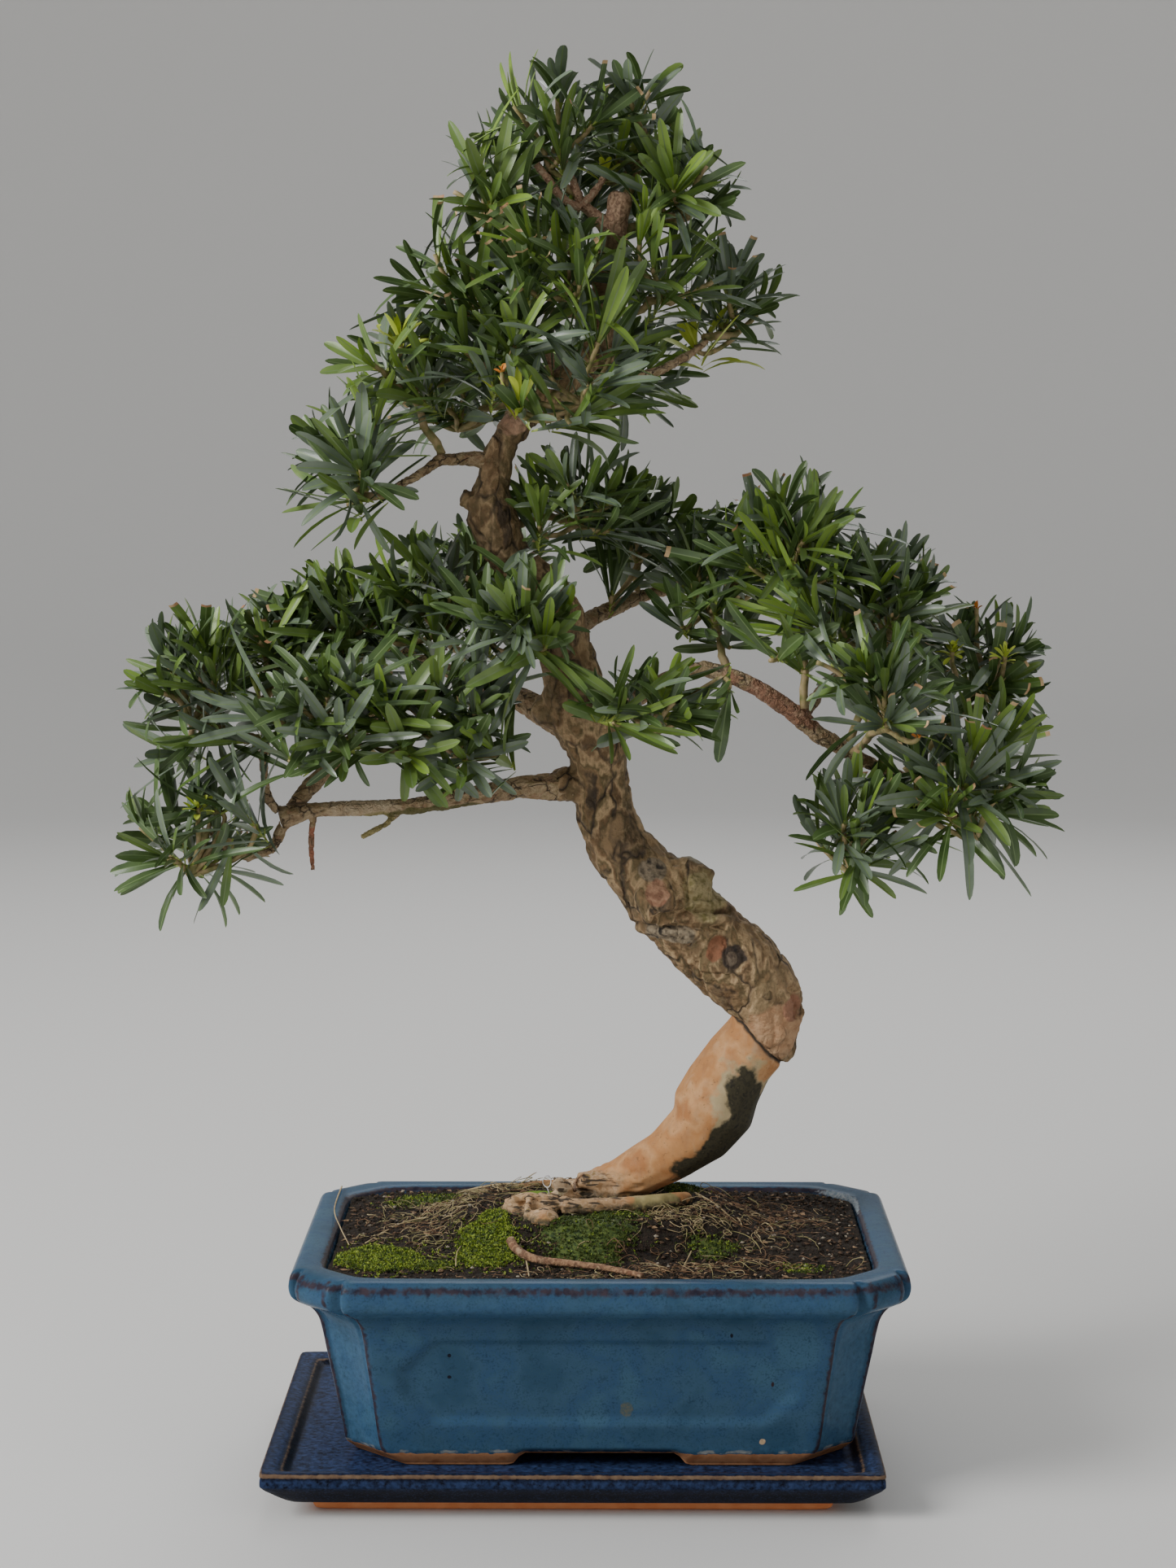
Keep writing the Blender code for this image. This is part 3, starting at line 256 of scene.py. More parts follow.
def stage_paper():
    """A round sheet, flat in the middle and turned up at its edge along a quarter circle."""
    rings = [(0.4, 0.0), (PAPER_FLAT, 0.0)]
    for step in range(1, PAPER_STEPS + 1):
        a = math.pi / 2 * step / PAPER_STEPS
        rings.append((PAPER_FLAT + PAPER_CURVE * math.sin(a), PAPER_CURVE * (1 - math.cos(a))))
    turns = [2 * math.pi * i / PAPER_SIDES for i in range(PAPER_SIDES)]
    points = [(r * math.cos(a), r * math.sin(a), z) for r, z in rings for a in turns]
    faces = [list(range(PAPER_SIDES))]
    for ring in range(len(rings) - 1):
        for i in range(PAPER_SIDES):
            a, b = ring * PAPER_SIDES + i, ring * PAPER_SIDES + (i + 1) % PAPER_SIDES
            faces.append((a, a + PAPER_SIDES, b + PAPER_SIDES, b))
    mesh = bpy.data.meshes.new("paper")
    mesh.from_pydata(points, [], faces)
    mesh.polygons.foreach_set("use_smooth", [True] * len(mesh.polygons))
    paper = bpy.data.materials.new("pale_paper")
    paper.use_nodes = True
    shader = paper.node_tree.nodes["Principled BSDF"]
    shader.inputs["Base Color"].default_value = (0.72, 0.71, 0.69, 1.0)
    shader.inputs["Roughness"].default_value = 0.9
    mesh.materials.append(paper)
    sheet = bpy.data.objects.new("paper", mesh)
    bpy.context.scene.collection.objects.link(sheet)


def soft_light(name, place, size, watts, aim=(0.0, 0.0, 0.3)):
    data = bpy.data.lights.new(name, "AREA")
    data.shape = "SQUARE"
    data.size = size
    data.energy = watts
    lamp = bpy.data.objects.new(name, data)
    lamp.location = place
    lamp.rotation_euler = (Vector(aim) - Vector(place)).to_track_quat("-Z", "Y").to_euler()
    bpy.context.scene.collection.objects.link(lamp)


stage_paper()
soft_light("window", (-1.7, -1.0, 1.3), 1.1, 54)
soft_light("fill", (1.6, -1.4, 0.9), 1.6, 5)
soft_light("back", (0.3, 1.6, 1.7), 1.4, 16)
world = bpy.data.worlds.new("studio")
world.use_nodes = True
world.node_tree.nodes["Background"].inputs["Color"].default_value = (0.88, 0.89, 0.90, 1.0)
world.node_tree.nodes["Background"].inputs["Strength"].default_value = 0.43
bpy.context.scene.world = world

# %% [markdown]
# ## Bark
# A limb's solid has flat facets. Here each is rebuilt as one even skin of small faces, smoothed, and then
# pushed in and out. Old bark breaks into flaky plates with cracks between them. Below the elbow the trunk
# is smooth and orange-tan, as if the old bark ended there like a sleeve. Marks lie where the photograph
# shows them: scars where boughs were cut, a knot, creases, and a dark patch of old bark low down, whose
# lowest part, on the trunk's lower right, is partly painted shade. Painted shade also darkens a hollow and
# the trunk's foot where it meets the soil.

# %% Places on the trunk, in metres
SLEEVE_ACROSS = Vector((0.726, 0.0, 0.688))
SLEEVE_START = 0.1856
ELBOW_HEIGHT = 0.1944

MARKS = {
    "collar": ((0.0880, 0.012, 0.1880), (0.0120, 0.022, 0.0110), [(0.40, 0.22, 0.11), (0.50, 0.31, 0.17)]),
    "pale_rim": ((0.0745, 0.012, 0.1545), (0.0140, 0.024, 0.0210), [(0.52, 0.40, 0.23), (0.44, 0.34, 0.18)]),
    "dark_patch_high": ((0.0745, 0.016, 0.1590), (0.0088, 0.024, 0.0150), "old"),
    "dark_patch_middle": ((0.0730, 0.018, 0.1450), (0.0080, 0.022, 0.0110), "old"),
    # The two lowest dark patches are old bark and, on the trunk's lower right, partly painted shade.
    "dark_patch_and_shade_low": ((0.0670, 0.018, 0.1345), (0.0130, 0.022, 0.0110), "old"),
    "dark_patch_and_shade_tail": ((0.0560, 0.022, 0.1235), (0.0150, 0.020, 0.0068), "old"),
    "green_burl": ((0.0565, 0.002, 0.2500), (0.0100, 0.016, 0.0100), [(0.19, 0.155, 0.055), (0.37, 0.295, 0.15), (0.25, 0.19, 0.080)]),
    "pale_cap": ((0.0512, 0.004, 0.2670), (0.0090, 0.016, 0.0038), [(0.28, 0.25, 0.18), (0.40, 0.34, 0.25)]),
    "rough_upper": ((0.0334, 0.000, 0.2618), (0.0060, 0.010, 0.0055), [(0.035, 0.028, 0.020), (0.24, 0.185, 0.12), (0.09, 0.07, 0.045)]),
    "rough_lower": ((0.0395, 0.001, 0.2335), (0.0135, 0.012, 0.0045), [(0.035, 0.028, 0.020), (0.33, 0.26, 0.17), (0.11, 0.085, 0.055)]),
    "burl_scar": ((0.0351, -0.006, 0.2515), (0.0056, 0.014, 0.0056), [(0.25, 0.115, 0.062), (0.34, 0.19, 0.11), (0.20, 0.095, 0.052)]),
    "knot_scar": ((0.0612, 0.001, 0.2275), (0.0040, 0.012, 0.0056), [(0.27, 0.110, 0.052), (0.20, 0.088, 0.042)]),
    "elbow_scar": ((0.0955, 0.012, 0.2002), (0.0040, 0.012, 0.0056), [(0.36, 0.175, 0.10), (0.28, 0.14, 0.08)]),
    "knot": ((0.0687, 0.001, 0.2224), (0.0054, 0.010, 0.0054), [(0.022, 0.016, 0.012), (0.09, 0.06, 0.04)]),
    "knot_heart": ((0.0680, -0.001, 0.2222), (0.0024, 0.008, 0.0030), [(0.09, 0.06, 0.04), (0.20, 0.15, 0.10)]),
    "stub_top": ((-0.0250, -0.012, 0.4540), (0.0070, 0.009, 0.0060), [(0.48, 0.29, 0.18), (0.34, 0.21, 0.13), (0.42, 0.24, 0.15)]),
    "lichen": ((-0.0060, 0.018, 0.1210), (0.0050, 0.008, 0.0060), [(0.46, 0.43, 0.35), (0.20, 0.17, 0.12)]),
    "green_root": ((0.0330, 0.012, 0.1135), (0.0170, 0.010, 0.0040), [(0.30, 0.25, 0.10), (0.40, 0.33, 0.15)]),
    # Painted shade: a near-black patch for the shade in a hollow low on the trunk. The wood there is not sunk.
    "cavity_shade": ((0.0073, 0.024, 0.1122), (0.0050, 0.006, 0.0026), [(0.012, 0.009, 0.007), (0.03, 0.02, 0.014)]),
    "top_stub": ((0.0195, -0.012, 0.5400), (0.0100, 0.010, 0.0130), [(0.24, 0.14, 0.08), (0.44, 0.29, 0.18), (0.18, 0.10, 0.06), (0.40, 0.25, 0.15)]),
}
BOUGH_MARKS = {
    "hanging_stub": ((-0.1112, -0.0195, 0.2700), (0.0050, 0.007, 0.0150), [(0.40, 0.15, 0.085), (0.33, 0.20, 0.12)]),
    "peeled": ((-0.0900, -0.0180, 0.2900), (0.0170, 0.008, 0.0050), [(0.52, 0.41, 0.27), (0.42, 0.30, 0.18)]),
    "green_stub": ((-0.0830, -0.0190, 0.2810), (0.0100, 0.007, 0.0060), [(0.24, 0.20, 0.07), (0.36, 0.30, 0.13)]),
    "red_reach": ((0.0860, -0.0120, 0.3360), (0.0280, 0.010, 0.0140), [(0.34, 0.175, 0.10), (0.24, 0.12, 0.07), (0.44, 0.27, 0.17)]),
    "mossy_crook": ((-0.0550, -0.0080, 0.2880), (0.0240, 0.010, 0.0028), [(0.10, 0.095, 0.028), (0.17, 0.14, 0.05)]),
}
KNOB = ((-0.0080, 0.014, 0.1130), (0.0340, 0.034, 0.0130))
CREASES = {
    "under_burl": ((0.0348, 0.2413), (0.0415, 0.2434), (0.0495, 0.2441), (0.0590, 0.2427), (0.0657, 0.2406)),
    "below_it": ((0.0275, 0.2371), (0.0377, 0.2371), (0.0496, 0.2371), (0.0630, 0.2357)),
    "burl_seam": ((0.0470, 0.2590), (0.0484, 0.2553), (0.0481, 0.2458)),
    "elbow": ((0.0936, 0.2074), (0.0968, 0.2013), (0.0962, 0.1951)),
}
CREASE_DEPTH = 0.0020
CREASE_WIDTH = 0.0010
CREASE_FRONT = 0.019
# Heights under which painted shade and soil stain darken the trunk's foot, where it meets the soil
SHADE_AND_SOIL_LOW, SHADE_AND_SOIL_HIGH = 0.1112, 0.1148

# %% Bark finishes
LOW_BARK = [(0.43, 0.180, 0.060), (0.56, 0.275, 0.105), (0.49, 0.220, 0.078), (0.62, 0.335, 0.145), (0.46, 0.195, 0.070)]
OLD_BARK = [(0.048, 0.031, 0.017), (0.26, 0.160, 0.074), (0.125, 0.092, 0.038), (0.50, 0.345, 0.185), (0.175, 0.100, 0.046),
            (0.092, 0.068, 0.028), (0.36, 0.235, 0.118)]
ROOT_BARK = [(0.27, 0.165, 0.078), (0.50, 0.345, 0.20), (0.38, 0.245, 0.125), (0.58, 0.43, 0.28), (0.23, 0.175, 0.07)]
LOW_GRAIN = [(0.30, 0.125, 0.048), (0.66, 0.43, 0.24)]
PATCH_BARK = [(0.018, 0.015, 0.010), (0.060, 0.050, 0.024), (0.030, 0.026, 0.014), (0.11, 0.09, 0.045)]
CRACK = [(0.030, 0.020, 0.012), (0.060, 0.042, 0.026)]
STAIN = [(0.10, 0.065, 0.035), (0.09, 0.10, 0.025)]
BOUGH_BARK = [(0.17, 0.105, 0.055), (0.38, 0.26, 0.145), (0.48, 0.36, 0.22), (0.26, 0.19, 0.085), (0.34, 0.195, 0.11)]


def plates_of(tree, scale, stretch, wander=0.9):
    """Irregular plates: a random number for each, and how near its edge is, 1 on a crack."""
    place = place_of(tree, [scale * share for share in stretch])
    bend = add_node(tree, "TexNoise", {"Vector": place, "Scale": 1.1, "Detail": 3.0})
    spot = add_node(tree, "VectorMath", {0: bend.outputs["Color"], 1: (wander,) * 3, 2: place},
                    operation="MULTIPLY_ADD").outputs["Vector"]
    plate = add_node(tree, "TexVoronoi", {"Vector": spot, "Scale": 1.0})
    edge = add_node(tree, "TexVoronoi", {"Vector": spot, "Scale": 1.0}, feature="DISTANCE_TO_EDGE")
    number = add_node(tree, "SeparateColor", {"Color": plate.outputs["Color"]}).outputs["Red"]
    return number, spread_of(tree, edge.outputs["Distance"], 0.07, 0.0)


def flaky_finish(name, tones, scale, stretch=(1.0, 1.0, 0.55), bump=0.7, where=None):
    """Bark in plates, each of its own tone, with dark cracks between them. where masks its relief."""
    made = finish_of(name, tones, scale * 1.1, 0.85, stretch=stretch)
    tree = made.node_tree
    number, crack = plates_of(tree, scale, stretch)
    patchy = add_node(tree, "Math", {0: noise_of(tree, scale * 0.6), 1: 0.6}, operation="MULTIPLY")
    lay_over(tree, patchy.outputs["Value"], ramp_of(tree, tones, number))
    fleck = add_node(tree, "Math", {0: noise_of(tree, scale * 5, stretch=stretch, low=0.5, high=0.72), 1: 0.5},
                     operation="MULTIPLY")
    lay_over(tree, fleck.outputs["Value"], ramp_of(tree, tones, noise_of(tree, scale * 2)))
    somewhere = noise_of(tree, scale * 0.8, low=0.42, high=0.58)
    torn = add_node(tree, "Math", {0: crack, 1: somewhere}, operation="MULTIPLY").outputs["Value"]
    lay_over(tree, torn, ramp_of(tree, CRACK, noise_of(tree, 300.0)))
    height = add_node(tree, "Math", {0: torn, 1: -1.4, 2: noise_of(tree, scale * 5, low=0.2, high=0.8)},
                      operation="MULTIPLY_ADD")
    share = where(tree) if where else 1.0
    masked = add_node(tree, "Math", {0: height.outputs["Value"], 1: share}, operation="MULTIPLY")
    give_relief(tree, masked.outputs["Value"], bump)
    return made


def across_sleeve(tree):
    """How far a spot lies past the fold, in metres, with a little wander."""
    along = add_node(tree, "VectorMath", {0: place_of(tree), 1: tuple(SLEEVE_ACROSS)}, operation="DOT_PRODUCT")
    wander = add_node(tree, "Math", {0: noise_of(tree, 150.0), 1: 0.0012, 2: along.outputs["Value"]},
                      operation="MULTIPLY_ADD")
    return wander.outputs["Value"]


def sleeve_mask(tree):
    """1 on the old bark above the elbow's fold."""
    past = spread_of(tree, across_sleeve(tree), SLEEVE_START + 0.0004, SLEEVE_START + 0.0008)
    return add_node(tree, "Math", {0: past, 1: above(tree, ELBOW_HEIGHT, ELBOW_HEIGHT + 0.001)},
                    operation="MAXIMUM").outputs["Value"]


def fold_mask(tree):
    """1 on a thin line along the fold."""
    past = across_sleeve(tree)
    rise = spread_of(tree, past, SLEEVE_START - 0.0012, SLEEVE_START - 0.0002)
    fall = spread_of(tree, past, SLEEVE_START + 0.0010, SLEEVE_START + 0.0004)
    line = add_node(tree, "Math", {0: rise, 1: fall}, operation="MULTIPLY").outputs["Value"]
    return add_node(tree, "Math", {0: line, 1: below(tree, ELBOW_HEIGHT, ELBOW_HEIGHT + 0.001)},
                    operation="MULTIPLY").outputs["Value"]


def lay_marks(tree, marks):
    """Each mark takes over the colour in its own place."""
    for middle, half, tones in marks.values():
        if tones == "old":
            colour = ramp_of(tree, PATCH_BARK, noise_of(tree, 330.0, low=0.3, high=0.75))
        else:
            colour = ramp_of(tree, tones, noise_of(tree, 260.0))
        lay_over(tree, inside_of(tree, middle, half), colour)


def trunk_finish():
    """Flaky old bark above, smooth wood below, and the marks over both."""
    made = flaky_finish("bark", OLD_BARK, 75.0, bump=0.9, where=sleeve_mask)
    tree = made.node_tree
    low = add_node(tree, "Math", {0: 1.0, 1: sleeve_mask(tree)}, operation="SUBTRACT").outputs["Value"]
    lay_over(tree, low, ramp_of(tree, LOW_BARK, noise_of(tree, 55.0, detail=7.0, low=0.3, high=0.7)))
    grain = noise_of(tree, 1.0, detail=7.0, stretch=(330.0, 330.0, 140.0), low=0.50, high=0.66)
    lay_over(tree, product_of(tree, low, product_of(tree, grain, 0.4)), ramp_of(tree, LOW_GRAIN, noise_of(tree, 90.0)))
    stained = add_node(tree, "Math", {0: below(tree, 0.1105, 0.1150), 1: noise_of(tree, 190.0)}, operation="MULTIPLY")
    lay_over(tree, stained.outputs["Value"], ramp_of(tree, STAIN, noise_of(tree, 300.0)))
    freckles = add_node(tree, "Math", {0: noise_of(tree, 700.0, low=0.62, high=0.72), 1: 0.45}, operation="MULTIPLY")
    lay_over(tree, freckles.outputs["Value"], ramp_of(tree, CRACK, low))
    lay_marks(tree, MARKS)
    lay_over(tree, fold_mask(tree), ramp_of(tree, CRACK, noise_of(tree, 300.0)))
    dull = product_of(tree, inside_of(tree, *KNOB, ragged=0.9), 0.8)
    lay_over(tree, dull, ramp_of(tree, ROOT_BARK, noise_of(tree, 210.0)))
    streaks = noise_of(tree, 1.0, detail=5.0, stretch=(120.0, 420.0, 620.0), low=0.54, high=0.60)
    lay_over(tree, product_of(tree, inside_of(tree, *KNOB, ragged=0.4), streaks), ramp_of(tree, CRACK, streaks))
    # Painted shade and soil stain: patches of dark bark just above the soil, where the trunk meets it
    shade_and_soil = add_node(tree, "Math", {0: below(tree, SHADE_AND_SOIL_LOW, SHADE_AND_SOIL_HIGH), 1: noise_of(tree, 420.0, low=0.38, high=0.55)},
                      operation="MULTIPLY")
    lay_over(tree, shade_and_soil.outputs["Value"], ramp_of(tree, PATCH_BARK, noise_of(tree, 500.0)))
    return made


bark_finish = trunk_finish()
bough_bark = flaky_finish("bough_bark", BOUGH_BARK, 210.0, stretch=(0.7, 1.0, 1.0), bump=0.8)
lay_marks(bough_bark.node_tree, BOUGH_MARKS)
twig_bark = finish_of("twig_bark", [(0.15, 0.15, 0.045), (0.30, 0.24, 0.10), (0.42, 0.31, 0.17)], 240.0, 0.7)
old_twig_bark = finish_of("old_twig_bark", [(0.24, 0.13, 0.075), (0.46, 0.30, 0.19), (0.36, 0.20, 0.12), (0.50, 0.36, 0.24)],
                          420.0, 0.8, bump=0.6, bump_scale=900.0)
print(len(bark_finish.node_tree.nodes), "nodes in the trunk's bark")


# %% Limbs with relief
SLEEVE_THICKNESS = 0.0014
ROOT_HEIGHT = 0.124
THICK_WOOD = (0.122, 0.375)
BURL_LOW = Vector((0.040, -1.0, 0.243))
BURL_HIGH = Vector((0.070, 1.0, 0.275))
# The thick root that runs to the right of the knob, seen from above, and how much it swells
BIG_ROOT = ((-0.002, 0.002), (0.018, 0.0065), (0.036, 0.0125), (0.050, 0.025))
BIG_ROOT_HEIGHT = 0.1165
BIG_ROOT_NEAR = 0.0050
BIG_ROOT_SWELL = 0.0013


def is_thick(spot):
    """Whether the trunk is smoothed much here: not where it is thin, and not on the burl."""
    on_burl = all(BURL_LOW[i] < spot[i] < BURL_HIGH[i] for i in range(3))
    return THICK_WOOD[0] < spot.z < THICK_WOOD[1] and not on_burl


def steady(t):
    """0 below 0, 1 above 1, and smooth between them."""
    t = min(1.0, max(0.0, t))
    return t * t * (3 - 2 * t)


def old_bark_share(spot):
    """How much of a spot on the trunk is under the old bark."""
    past = steady((spot.dot(SLEEVE_ACROSS) - SLEEVE_START) / 0.0009)
    return max(past, steady((spot.z - ELBOW_HEIGHT) / 0.002))


def crease_lift(spot):
    """Grooves with swollen sides, on the front of the trunk."""
    if spot.y > CREASE_FRONT or not 0.19 < spot.z < 0.27:
        return 0.0
    lift = 0.0
    for line in CREASES.values():
        gap = min(distance_to_line(spot.x, spot.z, a, b) for a, b in zip(line, line[1:]))
        lift += 0.55 * math.exp(-((gap - 0.0028) / 0.0016) ** 2) - math.exp(-(gap / CREASE_WIDTH) ** 2)
    return CREASE_DEPTH * lift


def distance_to_line(x, z, a, b):
    dx, dz = b[0] - a[0], b[1] - a[1]
    t = min(1.0, max(0.0, ((x - a[0]) * dx + (z - a[1]) * dz) / (dx * dx + dz * dz)))
    return math.hypot(x - a[0] - t * dx, z - a[1] - t * dz)


def big_root_gap(x, y, forward=0.0):
    """How far a place is from the thick root, seen from above, or from a line in front of it."""
    return min(distance_to_line(x, y + forward, a, b) for a, b in zip(BIG_ROOT, BIG_ROOT[1:]))


def mark_lift(spot):
    """A scar lies in a shallow dish with a rim, and the knot stands up round a hole."""
    lift = 0.0
    for name, (middle, half, _) in MARKS.items():
        if "scar" in name or name in ("knot", "stub_top"):
            far = Vector([(spot[i] - middle[i]) / half[i] for i in range(3)]).length
            rim = 0.0010 if name == "knot" else 0.0007
            lift += rim * math.exp(-((far - 1.15) / 0.22) ** 2) - 0.0007 * steady(1.25 - far)
    return lift


def plate_lift(spot, scale, stretch):
    """Plates of uneven height with cracks between them, from -1 to 1."""
    place = Vector((spot.x, spot.y, spot.z * stretch)) * scale
    place += 0.35 * noise.noise_vector(place * 0.8)
    distances, corners = noise.voronoi(place)
    crack = steady(1 - (distances[1] - distances[0]) / 0.22)
    return 0.55 * noise.cell(corners[0]) - 0.30 - 0.75 * crack


def trunk_lift(spot):
    old = old_bark_share(spot)
    rough = plate_lift(spot, 85.0, 0.6) + 0.5 * noise.noise(spot * 420) + 0.5 * noise.noise(spot * 200)
    swell = noise.noise(spot * 55)
    lift = SLEEVE_THICKNESS * old + 0.0009 * old * rough + 0.0005 * swell
    if spot.z < ELBOW_HEIGHT:
        past = (spot.dot(SLEEVE_ACROSS) - SLEEVE_START) / 0.0013
        lift -= 0.0012 * math.exp(-(past + 0.5) ** 2)
    if spot.z < ROOT_HEIGHT and spot.x < 0.03:
        lift += 0.0006 * noise.noise(Vector((spot.x * 150, spot.y * 500, spot.z * 600)))
    if spot.z < BIG_ROOT_HEIGHT:
        lift += BIG_ROOT_SWELL * steady((BIG_ROOT_NEAR - big_root_gap(spot.x, spot.y)) / 0.0015)
    return lift + old * (crease_lift(spot) + mark_lift(spot))


def bough_lift(spot):
    return 0.00042 * plate_lift(spot, 260.0, 0.8) + 0.0005 * noise.noise(spot * 150)


def bark_skin(name, voxel, passes, lift_of, material):
    """A limb's solid made even, smoothed and given the relief of bark. Thin wood is smoothed less."""
    skin = copy_of_node(name, name + "_bark")
    remesh = skin.modifiers.new("even", "REMESH")
    remesh.mode = "VOXEL"
    remesh.voxel_size = voxel
    apply_modifiers(skin)
    mesh = skin.data
    thick = skin.vertex_groups.new(name="thick")
    thick.add([v.index for v in mesh.vertices if is_thick(v.co)], 1.0, "REPLACE")
    for group, rounds in (("", passes[0]), ("thick", passes[1])):
        smooth = skin.modifiers.new("smooth", "SMOOTH")
        smooth.factor = 0.5
        smooth.iterations = rounds
        smooth.vertex_group = group
    apply_modifiers(skin)
    mesh = skin.data
    mesh.materials.clear()
    mesh.materials.append(material)
    spots, normals = spots_of(mesh)
    lift = np.array([lift_of(Vector(spot)) for spot in spots])
    spots += normals * lift[:, None]
    mesh.vertices.foreach_set("co", spots.ravel())
    mesh.polygons.foreach_set("use_smooth", [True] * len(mesh.polygons))
    mesh.update()
    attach(skin, "root")
    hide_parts(name)
    return skin


trunk_skin = bark_skin("trunk", 0.0008, (4, 30), trunk_lift, bark_finish)
for limb in limb_names:
    if limb != "trunk":
        bark_skin(limb, 0.0006, (5, 1), bough_lift, bough_bark)
print("bark on", len(limb_names), "limbs,", len(trunk_skin.data.polygons), "faces on the trunk")

# %% [markdown]
# ## Foliage
# The tree carries its leaves in rosettes: a shoot ends in a fan of 15 to 25 strap leaves. Each mass of
# the frame has its own space. A stem runs from its limb into the space, and twigs branch from it to the
# rosettes. Scattering leaves with a particle system would be quicker, but particles don't leave Blender,
# and real leaves aren't scattered: they turn round their shoot by the golden angle.

# %% The spaces of the masses: limb, middle and half-sizes in metres
MASSES = {
    "mass_apex_left": ("trunk", (-0.010, -0.014, 0.574), (0.028, 0.032, 0.036)),
    "mass_apex_right": ("trunk", (0.031, 0.002, 0.578), (0.020, 0.034, 0.032)),
    "mass_apex_right_low": ("trunk", (0.048, -0.006, 0.548), (0.024, 0.034, 0.022)),
    "mass_apex_left_low": ("trunk", (-0.038, -0.016, 0.548), (0.021, 0.034, 0.029)),
    "mass_back_top": ("trunk", (0.000, 0.034, 0.538), (0.030, 0.030, 0.032)),
    "mass_upper_left": ("trunk", (-0.050, -0.014, 0.510), (0.031, 0.034, 0.021)),
    "mass_upper_front": ("trunk", (-0.004, -0.038, 0.517), (0.029, 0.028, 0.031)),
    "mass_upper_right": ("trunk", (0.041, -0.014, 0.511), (0.027, 0.034, 0.019)),
    "mass_arm_right": ("bough_arm_right", (0.071, 0.030, 0.504), (0.022, 0.032, 0.026)),
    "mass_shoulder_left": ("bough_arm_left", (-0.071, -0.016, 0.476), (0.031, 0.036, 0.023)),
    "mass_shoulder_front": ("trunk", (0.004, -0.044, 0.468), (0.036, 0.032, 0.021)),
    "mass_shoulder_middle": ("trunk", (-0.030, -0.028, 0.483), (0.022, 0.032, 0.021)),
    "mass_arm_left": ("bough_arm_left", (-0.093, -0.034, 0.433), (0.030, 0.032, 0.033)),
    "mass_back_upper_left": ("bough_back_upper", (-0.052, 0.052, 0.462), (0.032, 0.032, 0.026)),
    "mass_back_upper_right": ("bough_back_upper", (0.016, 0.054, 0.474), (0.034, 0.032, 0.028)),
    "mass_middle_right": ("trunk", (0.002, 0.004, 0.421), (0.031, 0.034, 0.025)),
    "mass_left_far": ("bough_left_rise", (-0.160, -0.030, 0.341), (0.025, 0.038, 0.034)),
    "mass_left_tip": ("bough_left_drop", (-0.160, -0.042, 0.278), (0.035, 0.034, 0.031)),
    "mass_left_outer": ("bough_left_rise", (-0.133, 0.016, 0.356), (0.024, 0.034, 0.025)),
    "mass_left_top": ("bough_left_back", (-0.101, 0.018, 0.369), (0.027, 0.034, 0.026)),
    "mass_left_crown": ("bough_left_upper", (-0.058, 0.000, 0.376), (0.028, 0.036, 0.030)),
    "mass_left_middle": ("bough_left_back", (-0.102, -0.048, 0.333), (0.031, 0.034, 0.026)),
    "mass_left_low": ("bough_left", (-0.050, -0.036, 0.328), (0.030, 0.034, 0.030)),
    "mass_left_trunk": ("trunk", (-0.020, -0.034, 0.368), (0.023, 0.028, 0.027)),
    "mass_back_left": ("bough_left_upper", (-0.098, 0.088, 0.352), (0.038, 0.036, 0.028)),
    "mass_back_left_inner": ("bough_back_left", (-0.040, 0.099, 0.380), (0.032, 0.034, 0.028)),
    "mass_right_inner": ("bough_right", (0.058, 0.010, 0.388), (0.026, 0.036, 0.030)),
    "mass_right_top": ("bough_right", (0.092, -0.018, 0.398), (0.028, 0.036, 0.037)),
    "mass_right_shoulder": ("bough_right", (0.135, -0.006, 0.373), (0.026, 0.036, 0.032)),
    "mass_right_far": ("bough_right", (0.180, 0.022, 0.347), (0.027, 0.038, 0.029)),
    "mass_right_tip": ("bough_right", (0.169, -0.028, 0.297), (0.035, 0.040, 0.045)),
    "mass_right_low": ("bough_right", (0.118, -0.030, 0.278), (0.024, 0.032, 0.035)),
    "mass_right_middle": ("bough_right", (0.130, -0.052, 0.337), (0.027, 0.032, 0.024)),
    "mass_right_behind": ("bough_back_right", (0.028, 0.044, 0.404), (0.024, 0.030, 0.026)),
    "mass_back_right": ("bough_right_back", (0.134, 0.074, 0.352), (0.034, 0.034, 0.028)),
    "mass_back_right_inner": ("bough_back_right", (0.072, 0.098, 0.384), (0.034, 0.034, 0.028)),
    "mass_front": ("trunk", (0.032, -0.050, 0.333), (0.033, 0.030, 0.022)),
}
SPACE_MIDDLES = np.array([row[1] for row in MASSES.values()])
SPACE_HALVES = np.array([row[2] for row in MASSES.values()])
missing = sorted(set(mass_names) ^ set(MASSES))
print("masses without a space:", missing)

